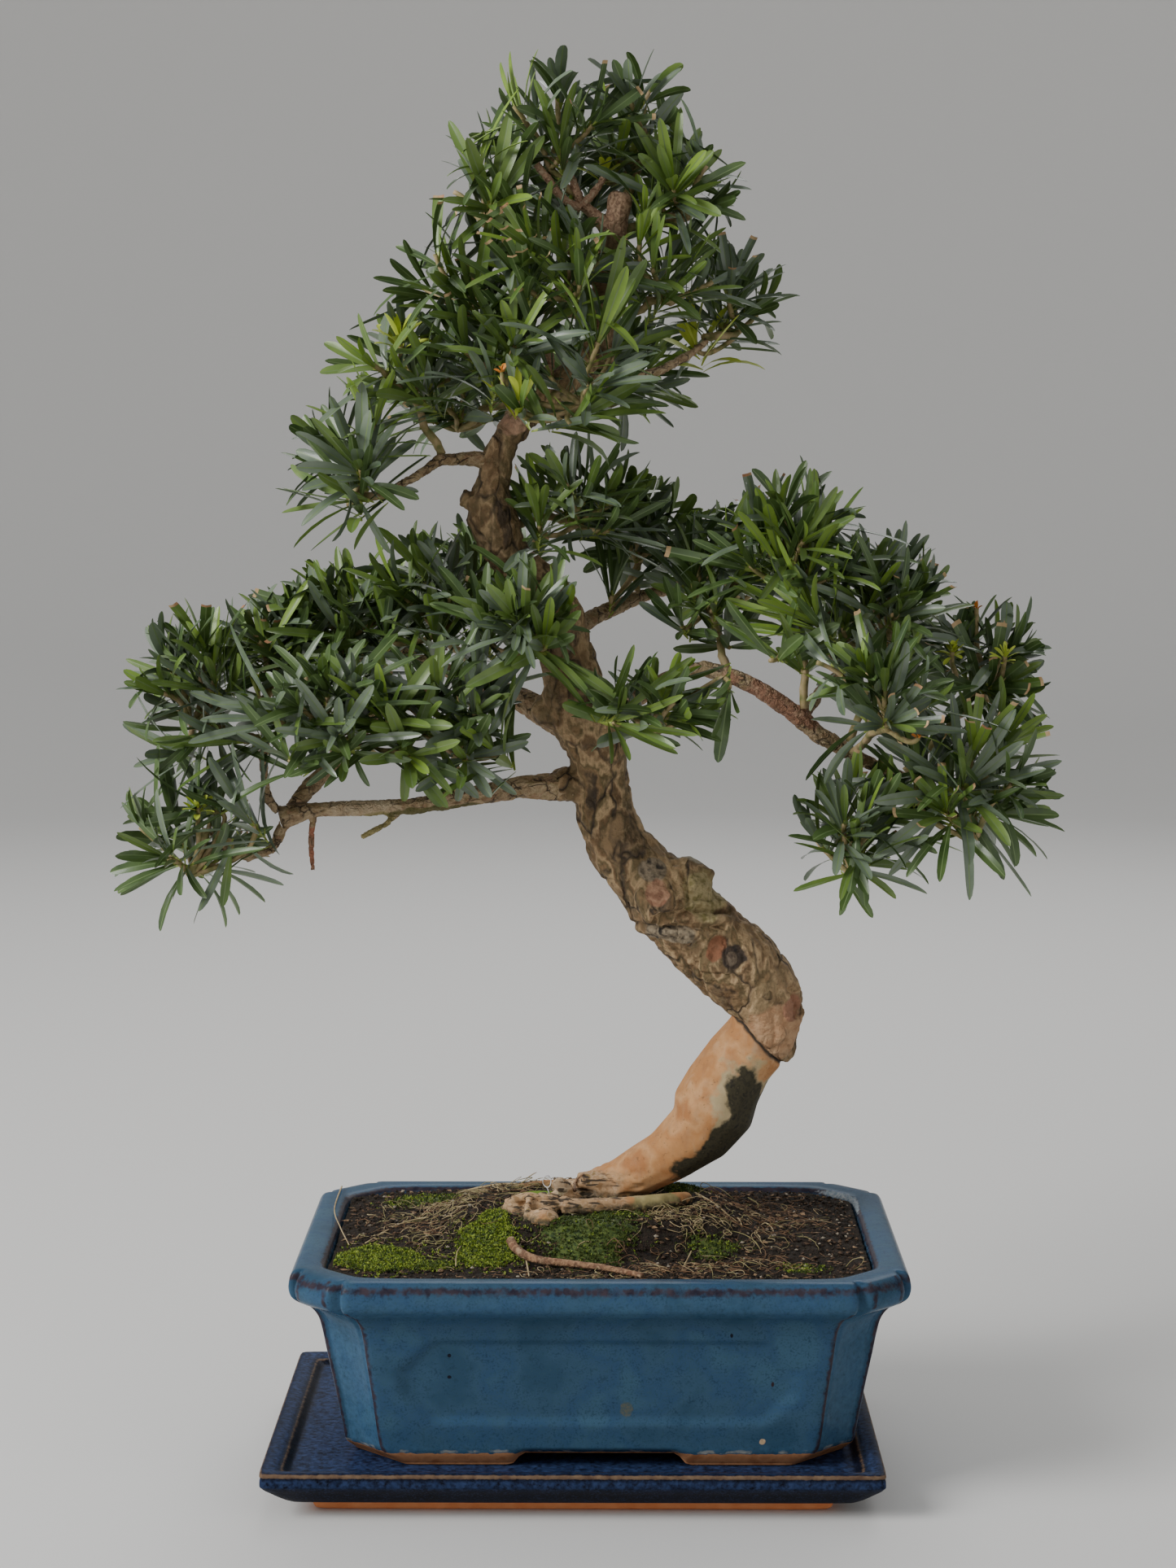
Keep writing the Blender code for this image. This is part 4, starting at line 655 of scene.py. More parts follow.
# %% Leaf finishes
# Leaf colour classes. BLUE_SHEEN paints a sheen: the blue-grey of sky reflected on glossy leaves, in the base colour.
OLD, MIDDLE, BLUE_SHEEN, YOUNG, BRIGHT, ORANGE = range(6)
leaf_finishes = [
    finish_of("leaf_old", [(0.040, 0.080, 0.020), (0.074, 0.126, 0.032), (0.056, 0.102, 0.026)], 55.0, 0.38, coat=0.16),
    finish_of("leaf_middle", [(0.082, 0.150, 0.026), (0.132, 0.206, 0.038), (0.104, 0.178, 0.032)], 55.0, 0.40, coat=0.12),
    # Painted sheen: the blue-grey of reflected sky, given as a leaf colour
    finish_of("leaf_blue_sheen", [(0.090, 0.128, 0.082), (0.152, 0.196, 0.130), (0.118, 0.160, 0.104)], 55.0, 0.34, coat=0.22),
    finish_of("leaf_young", [(0.140, 0.240, 0.028), (0.196, 0.304, 0.042), (0.166, 0.270, 0.034)], 55.0, 0.42, coat=0.1),
    finish_of("leaf_bright", [(0.400, 0.500, 0.040), (0.500, 0.580, 0.070), (0.450, 0.540, 0.050)], 55.0, 0.45),
    finish_of("leaf_orange", [(0.620, 0.190, 0.030), (0.700, 0.280, 0.050)], 90.0, 0.5),
]
midrib_finish = finish_of("leaf_midrib", [(0.110, 0.172, 0.060), (0.165, 0.232, 0.090)], 80.0, 0.42)
foot_finish = finish_of("leaf_foot", [(0.220, 0.290, 0.050), (0.310, 0.380, 0.075)], 80.0, 0.45)
cut_finish = finish_of("leaf_cut", [(0.42, 0.28, 0.13), (0.52, 0.36, 0.19), (0.36, 0.17, 0.08)], 90.0, 0.8)
MIDRIB, FOOT, CUT = range(len(leaf_finishes), len(leaf_finishes) + 3)
foliage_finishes = [*leaf_finishes, midrib_finish, foot_finish, cut_finish]
print(len(foliage_finishes), "leaf finishes")

# %% Room for the leaves
limb_points, limb_faces = [], []
for limb in limb_names:
    offset = len(limb_points)
    limb_points += [v.co.copy() for v in nodes[limb].data.vertices]
    limb_faces += [[offset + i for i in face.vertices] for face in nodes[limb].data.polygons]
limb_tree = BVHTree.FromPolygons(limb_points, limb_faces)
LIMB_CLEARANCE = 0.0012
BOX_LOW, BOX_HIGH = (np.array(corner) for corner in cad_box)
BOX_ROOM = 0.0015


def in_crown(points, limit):
    """Whether every point lies in the solids' box and in the space of one mass or another, a little more
    or less than full."""
    if (points < BOX_LOW - BOX_ROOM).any() or (points > BOX_HIGH + BOX_ROOM).any():
        return False
    depth = np.linalg.norm((points[:, None, :] - SPACE_MIDDLES[None]) / SPACE_HALVES[None], axis=2)
    return (depth.min(axis=1) <= limit).all()


def clear_of_limbs(points):
    return all(limb_tree.find_nearest(p, LIMB_CLEARANCE)[0] is None for p in points)


def stem_foot(mass, limb):
    """Where a mass's solid comes nearest to the limb that carries it."""
    tree = KDTree(len(nodes[limb].data.vertices))
    for i, vertex in enumerate(nodes[limb].data.vertices):
        tree.insert(vertex.co, i)
    tree.balance()
    near = sorted((tree.find(v.co)[2], v.index) for v in nodes[mass].data.vertices)[:3]
    spots = [nodes[mass].data.vertices[i].co for _, i in near]
    return sum(spots, Vector()) / len(spots)


print(len(limb_faces), "faces of limbs to keep clear of")

# %% [markdown]
# A strap leaf has nearly parallel sides and a blunt tip. It is a row of narrow quads along an arc, folded
# a little along its pale midrib. Where the trimmer's scissors went through, it ends straight and brown.

# %% A strap leaf
LEAF_OUTLINE = ((0.0, 0.20), (0.10, 0.34), (0.28, 0.66), (0.50, 0.94), (0.70, 1.0), (0.87, 0.84), (0.96, 0.52), (1.0, 0.12))
CUT_OUTLINE = ((0.0, 0.20), (0.14, 0.40), (0.34, 0.74), (0.58, 0.98), (0.80, 1.0), (0.95, 0.98), (1.0, 0.92))
MIDRIB_SHARE = 0.10
FOLD = 0.15


def leaf_rows(base, direction, up, length, width, bend, cut, twist=0.0):
    """The four points across a leaf at each step of its outline, along an arc that bends away from up."""
    side = direction.cross(up).normalized()
    rows = []
    point, before = base.copy(), 0.0
    for t, share in CUT_OUTLINE if cut else LEAF_OUTLINE:
        turn = Matrix.Rotation(-bend * (t + before) / 2, 3, side)
        ahead = turn @ direction
        point = point + ahead * length * (t - before)
        roll = Matrix.Rotation(twist * t, 3, ahead)
        lift = (roll @ turn @ up) * width * share * FOLD
        across = roll @ side
        half = across * width * share / 2
        rib = across * width * MIDRIB_SHARE * min(1.0, share * 1.6) / 2
        rows.append((point - half + lift, point - rib, point + rib, point + half + lift))
        before = t
    return rows


class Foliage:
    """Collects the leaves of one piece."""

    def __init__(self, name):
        self.name, self.points, self.faces, self.slots, self.count = name, [], [], [], 0

    def add_leaf(self, rows, blade, cut):
        start = len(self.points)
        last = len(rows) - 2
        for row in rows:
            self.points += row
        for i in range(last + 1):
            for k in range(3):
                a = start + 4 * i + k
                self.faces.append((a, a + 1, a + 5, a + 4))
                body = MIDRIB if k == 1 and blade < BRIGHT else blade
                self.slots.append(CUT if cut and i == last else (FOOT if i == 0 and blade < BRIGHT else body))
        self.count += 1

    def finish(self, *replaced):
        piece = piece_of(self.name, self.points, self.faces, foliage_finishes, self.slots)
        if replaced:
            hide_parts(*replaced)
        return piece


print(3 * (len(LEAF_OUTLINE) - 1), "faces a leaf")


# %% Twigs
class Twigs:
    """Collects twigs, each a tapering tube of a few sides along its points."""

    def __init__(self, name):
        self.name, self.points, self.faces = name, [], []

    def add(self, path, start_radius, end_radius, sides=6, knots=0.16):
        normal = (path[1] - path[0]).orthogonal().normalized()
        start = len(self.points)
        for i, point in enumerate(path):
            ahead = (path[min(i + 1, len(path) - 1)] - path[max(i - 1, 0)]).normalized()
            normal = (normal - ahead * normal.dot(ahead)).normalized()
            over = ahead.cross(normal)
            t = i / (len(path) - 1)
            for k in range(sides):
                a = 2 * math.pi * k / sides
                way = normal * math.cos(a) + over * math.sin(a)
                radius = (start_radius + (end_radius - start_radius) * t)
                radius *= 1.0 + knots * noise.noise((point + way * radius) * 700)
                self.points.append(point + way * radius)
        for i in range(len(path) - 1):
            for k in range(sides):
                a, b = start + i * sides + k, start + i * sides + (k + 1) % sides
                self.faces.append((a, b, b + sides, a + sides))
        self.faces.append([start + k for k in reversed(range(sides))])
        self.faces.append([len(self.points) - sides + k for k in range(sides)])


def curve_between(start, bend, end, pieces, wander=0.0):
    """Points along a curve that starts out towards bend, with a little wander between its ends."""
    points = []
    for i in range(pieces + 1):
        t = i / pieces
        point = start * (1 - t) ** 2 + bend * 2 * t * (1 - t) + end * t * t
        points.append(point + noise.noise_vector(point * 70) * wander * math.sin(math.pi * t))
    return points


# %% [markdown]
# The rosettes that the photograph shows stand where it shows them. Each is listed below: the pixel
# of its heart, how far it stands in front of its mass's middle, the way its shoot points, its number of
# leaves, the longest leaf, how far the leaves spread, their age or, for BLUE_SHEEN, a painted blue-grey sheen,
# and where scissors cut it, if they did.

# %% The rosettes that show
PHOTO_SIZE = (1445, 1927)
Rosette = namedtuple("Rosette", "u v nearer axis leaves longest spread age cut")


def seen_at(u, v, y):
    """The place at depth y that the camera sees at a pixel of the photograph."""
    focal = LENS_MM / SENSOR_MM * PHOTO_SIZE[1]
    sight = Vector(((u - PHOTO_SIZE[0] / 2) / focal, (PHOTO_SIZE[1] / 2 - v) / focal, -1.0))
    ray = camera.rotation_euler.to_matrix() @ sight
    start = Vector(CAMERA_PLACE)
    return start + ray * ((y - start.y) / ray.y)


ROSETTES = {
    "mass_apex_left": {
        "tallest": Rosette(687, 188, 0.006, (-0.15, -0.25, 1.0), 22, 0.045, 68, OLD, None),
    },
    "mass_apex_right": {
        "second": Rosette(760, 190, 0.004, (0.22, -0.20, 1.0), 18, 0.042, 60, MIDDLE, None),
        "fork_tuft": Rosette(743, 214, 0.010, (0.25, -0.40, 1.0), 9, 0.013, 60, BRIGHT, None),
    },
    "mass_apex_right_low": {
        "right_fan": Rosette(816, 251, 0.006, (0.75, -0.30, 0.7), 17, 0.043, 60, MIDDLE, None),
        "yellow_fan": Rosette(792, 262, 0.012, (0.15, -0.45, 1.0), 10, 0.022, 60, YOUNG, None),
    },
    "mass_apex_left_low": {
        "left_fan": Rosette(637, 268, 0.006, (-0.55, -0.20, 0.9), 18, 0.044, 60, OLD, None),
    },
    "mass_upper_left": {
        "outer": Rosette(578, 380, 0.006, (-0.75, -0.20, 0.8), 18, 0.046, 60, MIDDLE, None),
        "cut_top": Rosette(588, 356, 0.010, (-0.15, -0.35, 1.0), 16, 0.036, 62, OLD, 0.012),
    },
    "mass_upper_front": {
        "cut_flat": Rosette(644, 346, 0.008, (-0.15, -0.40, 1.0), 20, 0.044, 60, OLD, 0.019),
        "bright_fan": Rosette(712, 350, 0.014, (0.10, -0.55, 1.0), 13, 0.034, 60, YOUNG, None),
    },
    "mass_upper_right": {
        "yellow_heart": Rosette(786, 300, 0.012, (0.20, -0.35, 1.0), 12, 0.026, 60, YOUNG, None),
        "outer": Rosette(820, 366, 0.006, (0.60, -0.20, 0.8), 17, 0.044, 62, MIDDLE, None),
    },
    "mass_arm_right": {
        "yellow": Rosette(855, 424, 0.012, (-0.30, -0.30, 1.0), 14, 0.032, 72, BRIGHT, None),
        "dark": Rosette(893, 398, 0.002, (0.60, 0.05, 0.9), 20, 0.046, 70, OLD, None),
    },
    "mass_shoulder_left": {
        "cut_left": Rosette(514, 490, 0.008, (-0.80, -0.30, 0.6), 18, 0.044, 62, MIDDLE, 0.030),
        "tuft": Rosette(491, 416, 0.006, (-0.05, -0.20, 1.0), 12, 0.018, 55, BRIGHT, None),
        "upright": Rosette(528, 462, 0.004, (0.00, -0.20, 1.0), 15, 0.038, 65, OLD, None),
    },
    "mass_shoulder_middle": {
        "blue_sheen": Rosette(605, 473, 0.008, (0.05, -0.40, 1.0), 18, 0.041, 65, BLUE_SHEEN, None),
        "left": Rosette(572, 430, 0.004, (-0.40, -0.30, 0.9), 16, 0.040, 65, OLD, 0.028),
    },
    "mass_shoulder_front": {
        "orange_tip": Rosette(617, 456, 0.012, (0.0, -0.5, 1.0), 5, 0.0045, 34, ORANGE, None),
        "yellow_young": Rosette(636, 492, 0.014, (0.1, -0.5, 1.0), 7, 0.022, 40, BRIGHT, None),
        "great_fan": Rosette(735, 421, 0.010, (0.40, -0.35, 1.0), 24, 0.052, 66, MIDDLE, None),
        "wide_grey": Rosette(642, 510, 0.012, (-0.25, -0.70, 0.5), 11, 0.034, 75, BLUE_SHEEN, None),
        "right": Rosette(708, 514, 0.008, (0.75, -0.45, 0.4), 18, 0.045, 72, MIDDLE, None),
        "hanging": Rosette(702, 522, 0.012, (0.55, -0.25, -0.9), 3, 0.046, 18, OLD, None),
    },
    "mass_arm_left": {
        "fan": Rosette(441, 600, 0.004, (-0.05, -0.20, 1.0), 17, 0.046, 66, OLD, None),
        "side": Rosette(436, 616, 0.006, (-1.0, -0.20, 0.05), 8, 0.042, 45, MIDDLE, None),
        "hanging": Rosette(442, 614, 0.008, (0.45, -0.10, -1.0), 2, 0.044, 8, BLUE_SHEEN, None),
    },
    "mass_middle_right": {
        "front": Rosette(663, 646, 0.016, (0.05, -0.55, 1.0), 20, 0.038, 72, MIDDLE, None),
        "right": Rosette(717, 616, 0.008, (0.60, -0.30, 0.8), 20, 0.044, 72, OLD, None),
        "low_right": Rosette(748, 652, 0.010, (0.80, -0.30, 0.3), 16, 0.042, 72, OLD, None),
    },
    "mass_right_behind": {
        "blue_leaf": Rosette(752, 732, 0.024, (0.15, -0.30, 1.0), 16, 0.040, 70, OLD, None),
    },
    "mass_right_inner": {
        "low_left": Rosette(838, 770, 0.010, (-0.2, -0.6, 0.4), 14, 0.036, 80, OLD, None),
        "low_right": Rosette(896, 796, 0.010, (0.2, -0.7, 0.0), 13, 0.036, 84, OLD, None),
        "upright": Rosette(852, 708, 0.006, (-0.05, -0.20, 1.0), 16, 0.040, 55, OLD, None),
        "low": Rosette(880, 742, 0.014, (0.10, -0.50, 0.9), 18, 0.040, 70, MIDDLE, None),
    },
    "mass_right_top": {
        "low_left": Rosette(946, 812, 0.016, (-0.5, -0.6, 0.1), 14, 0.038, 82, OLD, None),
        "low_right": Rosette(990, 826, 0.012, (0.1, -0.7, 0.1), 14, 0.038, 84, MIDDLE, None),
        "tall_left": Rosette(957, 680, 0.006, (-0.22, -0.15, 1.0), 14, 0.046, 48, YOUNG, None),
        "tall_right": Rosette(998, 684, 0.008, (0.18, -0.15, 1.0), 16, 0.046, 48, YOUNG, None),
        "great_fan": Rosette(1003, 766, 0.014, (-0.80, -0.35, 0.75), 24, 0.052, 52, YOUNG, None),
    },
    "mass_right_shoulder": {
        "upright": Rosette(1063, 752, 0.008, (0.25, -0.20, 1.0), 16, 0.043, 55, MIDDLE, None),
        "cut_right": Rosette(1112, 754, 0.006, (0.45, -0.20, 0.9), 18, 0.040, 66, OLD, 0.026),
        "cut_short": Rosette(1036, 772, 0.012, (0.10, -0.40, 1.0), 10, 0.030, 60, MIDDLE, 0.008),
    },
    "mass_right_middle": {
        "orange_tip": Rosette(1129, 906, 0.012, (0.0, -0.5, 1.0), 5, 0.0045, 34, ORANGE, None),
        "upright": Rosette(1087, 846, 0.010, (-0.08, -0.35, 1.0), 20, 0.047, 55, OLD, None),
        "cut_left": Rosette(1066, 826, 0.006, (-0.50, -0.30, 0.9), 16, 0.040, 60, MIDDLE, 0.022),
        "blue_sheen": Rosette(1004, 814, 0.002, (-0.75, -0.30, 0.3), 14, 0.042, 62, BLUE_SHEEN, None),
    },
    "mass_right_far": {
        "lime_bud": Rosette(1170, 800, 0.030, (0.0, -0.3, 1.0), 14, 0.008, 78, BRIGHT, None),
        "lime_bud_right": Rosette(1235, 806, 0.026, (0.1, -0.3, 1.0), 14, 0.008, 78, BRIGHT, None),
        "orange_tip": Rosette(1200, 747, 0.006, (0.0, -0.3, 1.0), 5, 0.0045, 30, ORANGE, None),
        "bud": Rosette(1170, 806, 0.008, (0.00, -0.30, 1.0), 18, 0.036, 72, OLD, 0.022),
        "outer": Rosette(1240, 812, 0.004, (0.65, -0.10, 0.6), 20, 0.042, 80, OLD, 0.032),
        "low": Rosette(1226, 856, 0.002, (0.85, -0.10, 0.0), 16, 0.042, 62, OLD, None),
    },
    "mass_right_tip": {
        "star": Rosette(1184, 969, 0.014, (0.25, -0.70, 0.3), 26, 0.052, 104, BLUE_SHEEN, None),
        "outer": Rosette(1228, 1000, 0.000, (0.90, -0.10, 0.1), 16, 0.042, 70, OLD, None),
        "green_cut": Rosette(1126, 962, 0.010, (0.02, -0.30, 1.0), 10, 0.040, 46, MIDDLE, 0.026),
    },
    "mass_right_low": {
        "inner": Rosette(1053, 1038, 0.006, (-0.20, -0.45, 0.9), 18, 0.046, 78, MIDDLE, None),
        "hanging": Rosette(1056, 1044, 0.008, (0.10, -0.10, -1.0), 2, 0.036, 14, OLD, None),
    },
    "mass_front": {
        "heart": Rosette(756, 888, 0.008, (0.55, -0.75, 0.05), 18, 0.050, 84, MIDDLE, None),
        "by_bough": Rosette(896, 846, 0.004, (-0.05, -0.50, -0.5), 9, 0.040, 66, OLD, None),
    },
    "mass_left_far": {
        "outer_low": Rosette(222, 926, 0.004, (-0.6, -0.4, 0.2), 12, 0.042, 66, BLUE_SHEEN, None),
        "low_arching": Rosette(300, 912, 0.012, (-0.85, -0.45, 0.05), 12, 0.047, 60, BLUE_SHEEN, None),
        "low_left": Rosette(246, 902, 0.008, (-0.45, -0.45, -0.45), 9, 0.040, 60, OLD, None),
        "arching": Rosette(252, 848, 0.008, (-0.90, -0.30, 0.35), 18, 0.048, 66, BLUE_SHEEN, None),
        "upright": Rosette(262, 818, 0.004, (-0.10, -0.20, 1.0), 16, 0.036, 62, MIDDLE, None),
    },
    "mass_left_outer": {
        "yellow_bud": Rosette(317, 850, 0.030, (-0.1, -0.3, 1.0), 5, 0.013, 16, BRIGHT, None),
        "cut_flat": Rosette(330, 816, 0.006, (0.00, -0.25, 1.0), 18, 0.038, 64, MIDDLE, 0.020),
    },
    "mass_left_top": {
        "tall": Rosette(372, 798, 0.006, (0.00, -0.20, 1.0), 18, 0.044, 60, BLUE_SHEEN, None),
        "cut_top": Rosette(426, 806, 0.010, (0.10, -0.35, 1.0), 20, 0.042, 64, MIDDLE, 0.034),
    },
    "mass_left_crown": {
        "upright": Rosette(474, 775, 0.004, (0.08, -0.20, 1.0), 18, 0.042, 62, OLD, None),
        "cut_top": Rosette(534, 790, 0.010, (0.00, -0.35, 1.0), 20, 0.042, 62, MIDDLE, 0.034),
    },
    "mass_left_trunk": {
        "cut_left": Rosette(598, 775, 0.004, (-0.10, -0.30, 1.0), 18, 0.042, 62, OLD, 0.034),
        "cut_right": Rosette(644, 778, 0.006, (0.05, -0.40, 1.0), 15, 0.042, 50, MIDDLE, 0.030),
    },
    "mass_left_middle": {
        "over_limb": Rosette(356, 934, 0.012, (-0.25, -0.6, 0.45), 13, 0.040, 72, OLD, None),
        "low_left": Rosette(424, 926, 0.010, (-0.2, -0.8, -0.05), 14, 0.036, 84, OLD, None),
        "low_right": Rosette(502, 930, 0.008, (0.2, -0.8, 0.0), 14, 0.036, 84, MIDDLE, None),
        "left": Rosette(336, 884, 0.008, (-0.60, -0.60, 0.3), 18, 0.048, 76, BLUE_SHEEN, None),
        "front": Rosette(402, 856, 0.010, (-0.10, -0.65, 0.8), 20, 0.046, 74, OLD, None),
        "right": Rosette(476, 886, 0.006, (0.00, -0.65, 0.5), 18, 0.044, 78, MIDDLE, None),
    },
    "mass_left_low": {
        "low": Rosette(572, 934, 0.012, (0.0, -0.8, -0.05), 14, 0.034, 84, BLUE_SHEEN, None),
        "top": Rosette(536, 862, 0.006, (0.10, -0.50, 0.9), 20, 0.046, 70, OLD, None),
        "by_trunk": Rosette(608, 922, 0.006, (-0.65, -0.40, 0.7), 18, 0.046, 60, MIDDLE, None),
    },
    "mass_left_tip": {
        "lime_bud": Rosette(243, 992, 0.012, (-0.1, -0.4, 1.0), 12, 0.009, 64, BRIGHT, None),
        "left": Rosette(262, 998, 0.004, (-1.0, -0.20, -0.12), 7, 0.048, 32, OLD, None),
        "low": Rosette(284, 1044, 0.006, (-0.15, -0.20, -1.0), 4, 0.042, 46, BLUE_SHEEN, None),
        "upright": Rosette(308, 1010, 0.006, (-0.60, -0.30, 0.8), 15, 0.047, 60, BLUE_SHEEN, None),
    },
}
print(sum(len(rows) for rows in ROSETTES.values()), "rosettes placed by the photograph")

# %% [markdown]
# Here and there the photograph looks through the leaves on to wood. Each such place is named below by its
# pixel, the depth of the wood and the size of the gap, and no leaf may grow across the line of sight to it.

# %% Wood seen through the leaves
GLIMPSES = {
    "top_stub": (762, 268, -0.014, 0.0064),
    "fork": (712, 240, -0.014, 0.0050),
    "fork_right": (733, 229, -0.014, 0.0040),
    "dead_twig": (668, 212, -0.016, 0.0040),
    "pale_twig": (677, 448, -0.008, 0.0040),
    "under_it": (694, 486, -0.006, 0.0050),
    "swelling": (734, 443, -0.008, 0.0050),
    "cut_stub": (630, 533, -0.014, 0.0060),
    "arm": (822, 448, 0.002, 0.0050),
    "limb_left": (662, 878, 0.012, 0.0060),
    "lime_bud": (1170, 798, -0.018, 0.0046),
    "lime_bud_right": (1235, 804, -0.014, 0.0046),
    "yellow_bud": (317, 842, -0.024, 0.0040),
    "left_bud": (243, 988, -0.064, 0.0050),
}
GLIMPSE_SPOTS = [(seen_at(u, v, y), room) for u, v, y, room in GLIMPSES.values()]


def hides_wood(points):
    """Whether a leaf's outline crosses the line of sight to a glimpse of wood."""
    eye = np.array(CAMERA_PLACE)
    for spot, room in GLIMPSE_SPOTS:
        sight = np.array(spot) - eye
        far = np.linalg.norm(sight)
        along = (points - eye) @ (sight / far)
        off = np.linalg.norm(points - eye - np.outer(along, sight / far), axis=1)
        if ((off < room) & (along < far)).any():
            return True
    return False


print(len(GLIMPSES), "glimpses of wood")

# %% Grow a rosette
GOLDEN_TURN = math.pi * (3 - math.sqrt(5))
SHOOT_LENGTH = 0.014
SEEN_LIMIT = 1.34
LEAF_WIDTHS = (0.0034, 0.0054)
SLIM = (0.82, 1.12)
LEAF_TRIES = 5
INNERMOST = 0.20


def grow_rosette(foliage, rosette, heart, limit, rng):
    """A whorl of leaves round the last stretch of a shoot, the outer ones lower, older and longer."""
    ahead = Vector(rosette.axis).normalized()
    cross = ahead.orthogonal().normalized()
    over = ahead.cross(cross)
    phase = rng.uniform(0, 2 * math.pi)
    slim = rng.uniform(*SLIM) * min(1.0, 0.35 + 0.65 * rosette.longest / 0.036)
    shoot = SHOOT_LENGTH * min(1.0, rosette.longest / 0.036)
    for j in range(rosette.leaves):
        share = j / max(1, rosette.leaves - 1)
        base = heart - ahead * shoot * (1 - share)
        for attempt in range(LEAF_TRIES):
            lean = math.radians(rosette.spread * (1 - (1 - INNERMOST) * share ** 1.15) + rng.uniform(-11, 11))
            turn = phase + j * GOLDEN_TURN + rng.uniform(-0.25, 0.25) * (1 + attempt)
            out = cross * math.cos(turn) + over * math.sin(turn)
            direction = (ahead * math.cos(lean) + out * math.sin(lean)).normalized()
            up = (ahead * math.sin(lean) - out * math.cos(lean)).normalized()
            length = rosette.longest * rng.uniform(0.80, 1.08) * (1.0 - 0.30 * share ** 3) * (1 - 0.10 * attempt)
            width = rng.uniform(*LEAF_WIDTHS) * slim
            bend = rng.uniform(0.0, 1.15) * (1 - 0.65 * share)
            cut = False
            if rosette.cut and math.cos(lean) > 0.2:
                reach = rosette.cut * rng.uniform(0.9, 1.1) / math.cos(lean) + shoot * (1 - share)
                cut = reach < length
                length = min(length, reach)
            rows = leaf_rows(base, direction, up, length, width, bend, cut, rng.uniform(-0.5, 0.5))
            outline = np.array([tuple(rows[k][e]) for k in range(2, len(rows)) for e in (0, 3)])
            if in_crown(outline, limit) and not hides_wood(outline) and clear_of_limbs([row[1] for row in rows[1:]]):
                foliage.add_leaf(rows, leaf_age(rosette.age, share, rng), cut)
                break


def leaf_age(age, share, rng):
    """A leaf's colour: mostly its rosette's, with older ones and ones with the painted blue-grey sheen outside, and
    younger ones at the heart.
    """
    if age >= BRIGHT:
        return age
    pick = rng.random()
    if share < 0.35 and pick < 0.45:
        return rng.choice((OLD, BLUE_SHEEN))
    if share > 0.70 and pick < 0.35:
        return YOUNG if age == MIDDLE else MIDDLE
    return rng.choice((OLD, MIDDLE, BLUE_SHEEN)) if pick > 0.90 else age


# %% Rosettes that the rule adds
SHOOTS_BY_GROUP = {"top": 4, "left": 7, "right": 7, "back": 9}
SHOOT_REACHES = (0.45, 0.72)
CROWN_LIMITS = (1.05, 1.30)
FREE_ROOM = 0.011


def free_age(rng, height):
    """Which leaf colour a shoot's leaves have. Young ones sit high in the space."""
    pick = rng.random()
    if pick < 0.06 + 0.08 * height:
        return YOUNG
    return OLD if pick < 0.48 else (MIDDLE if pick < 0.78 else BLUE_SHEEN)


def free_rosettes(middle, half, shoots, taken, rng):
    """Shoots spread by the golden angle through the upper part of a space, where none stands yet."""
    phase = rng.uniform(0, 2 * math.pi)
    for k in range(shoots):
        height = 1 - 1.55 * (k + 0.5) / shoots
        flat = math.sqrt(1 - height * height)
        turn = phase + k * GOLDEN_TURN
        out = Vector((math.cos(turn) * flat, math.sin(turn) * flat, height))
        heart = middle + Vector([rng.uniform(*SHOOT_REACHES) * h * o for h, o in zip(half, out)])
        away = Vector((heart.x - 0.01, heart.y, 0.0)).normalized()
        axis = out * 0.8 + away * 0.35 + Vector((0.0, 0.0, 0.55))
        cut = rng.choice((None, None, 0.022, 0.030))
        row = Rosette(0, 0, 0, tuple(axis), rng.randint(14, 20), rng.uniform(0.038, 0.048), rng.uniform(60, 82),
                      free_age(rng, height), cut)
        if all((heart - other).length > FREE_ROOM for other in taken):
            yield row, heart


STEM_WANDER = 0.004


def grow_mass(name, shoots, foliage, twigs):
    limb, middle, half = MASSES[name]
    middle, half = Vector(middle), Vector(half)
    rng = random.Random(sum(ord(letter) * (i + 5) for i, letter in enumerate(name)))
    foot = stem_foot(name, limb)
    fork = middle - Vector((0.0, 0.0, half.z * 0.45))
    bend = foot.lerp(fork, 0.5) + Vector((0.0, 0.0, (fork - foot).length * 0.10))
    twigs.add(curve_between(foot, bend, fork, 20, STEM_WANDER), 0.0019, 0.0014, 8, knots=0.3)
    seen = [(row, seen_at(row.u, row.v, middle.y - row.nearer), SEEN_LIMIT) for row in ROSETTES.get(name, {}).values()]
    taken = [heart for _, heart, _ in seen]
    added = free_rosettes(middle, half, shoots, taken, rng)
    free = [(row, heart, rng.uniform(*CROWN_LIMITS)) for row, heart in added]
    for row, heart, limit in seen + free:
        ahead = Vector(row.axis).normalized()
        path = curve_between(fork, heart - ahead * (heart - fork).length * 0.45, heart, 12, STEM_WANDER / 2)
        clear = clear_of_limbs(path[1:])
        if clear:
            twigs.add(path, 0.0013, 0.0010, knots=0.25)
        elif limit != SEEN_LIMIT:
            continue
        else:
            print(name, "has a rosette whose twig touches a limb at", row.u, row.v)
        grow_rosette(foliage, row, heart, limit, rng)


# %% Grow the masses
groups = {"top": [], "left": [], "right": [], "back": []}
for name in MASSES:
    _, (x, y, z), _ = MASSES[name]
    where = "top" if z > 0.41 and y < 0.05 else ("back" if y > 0.04 else ("left" if x < 0 else "right"))
    groups[where].append(name)
twigs = Twigs("twigs")
leaf_count = 0
for where, members in groups.items():
    foliage = Foliage("leaves_" + where)
    for name in members:
        grow_mass(name, SHOOTS_BY_GROUP[where], foliage, twigs)
    foliage.finish(*members)
    leaf_count += foliage.count
    print(where, foliage.count, "leaves,", 2 * len(foliage.faces), "triangles")
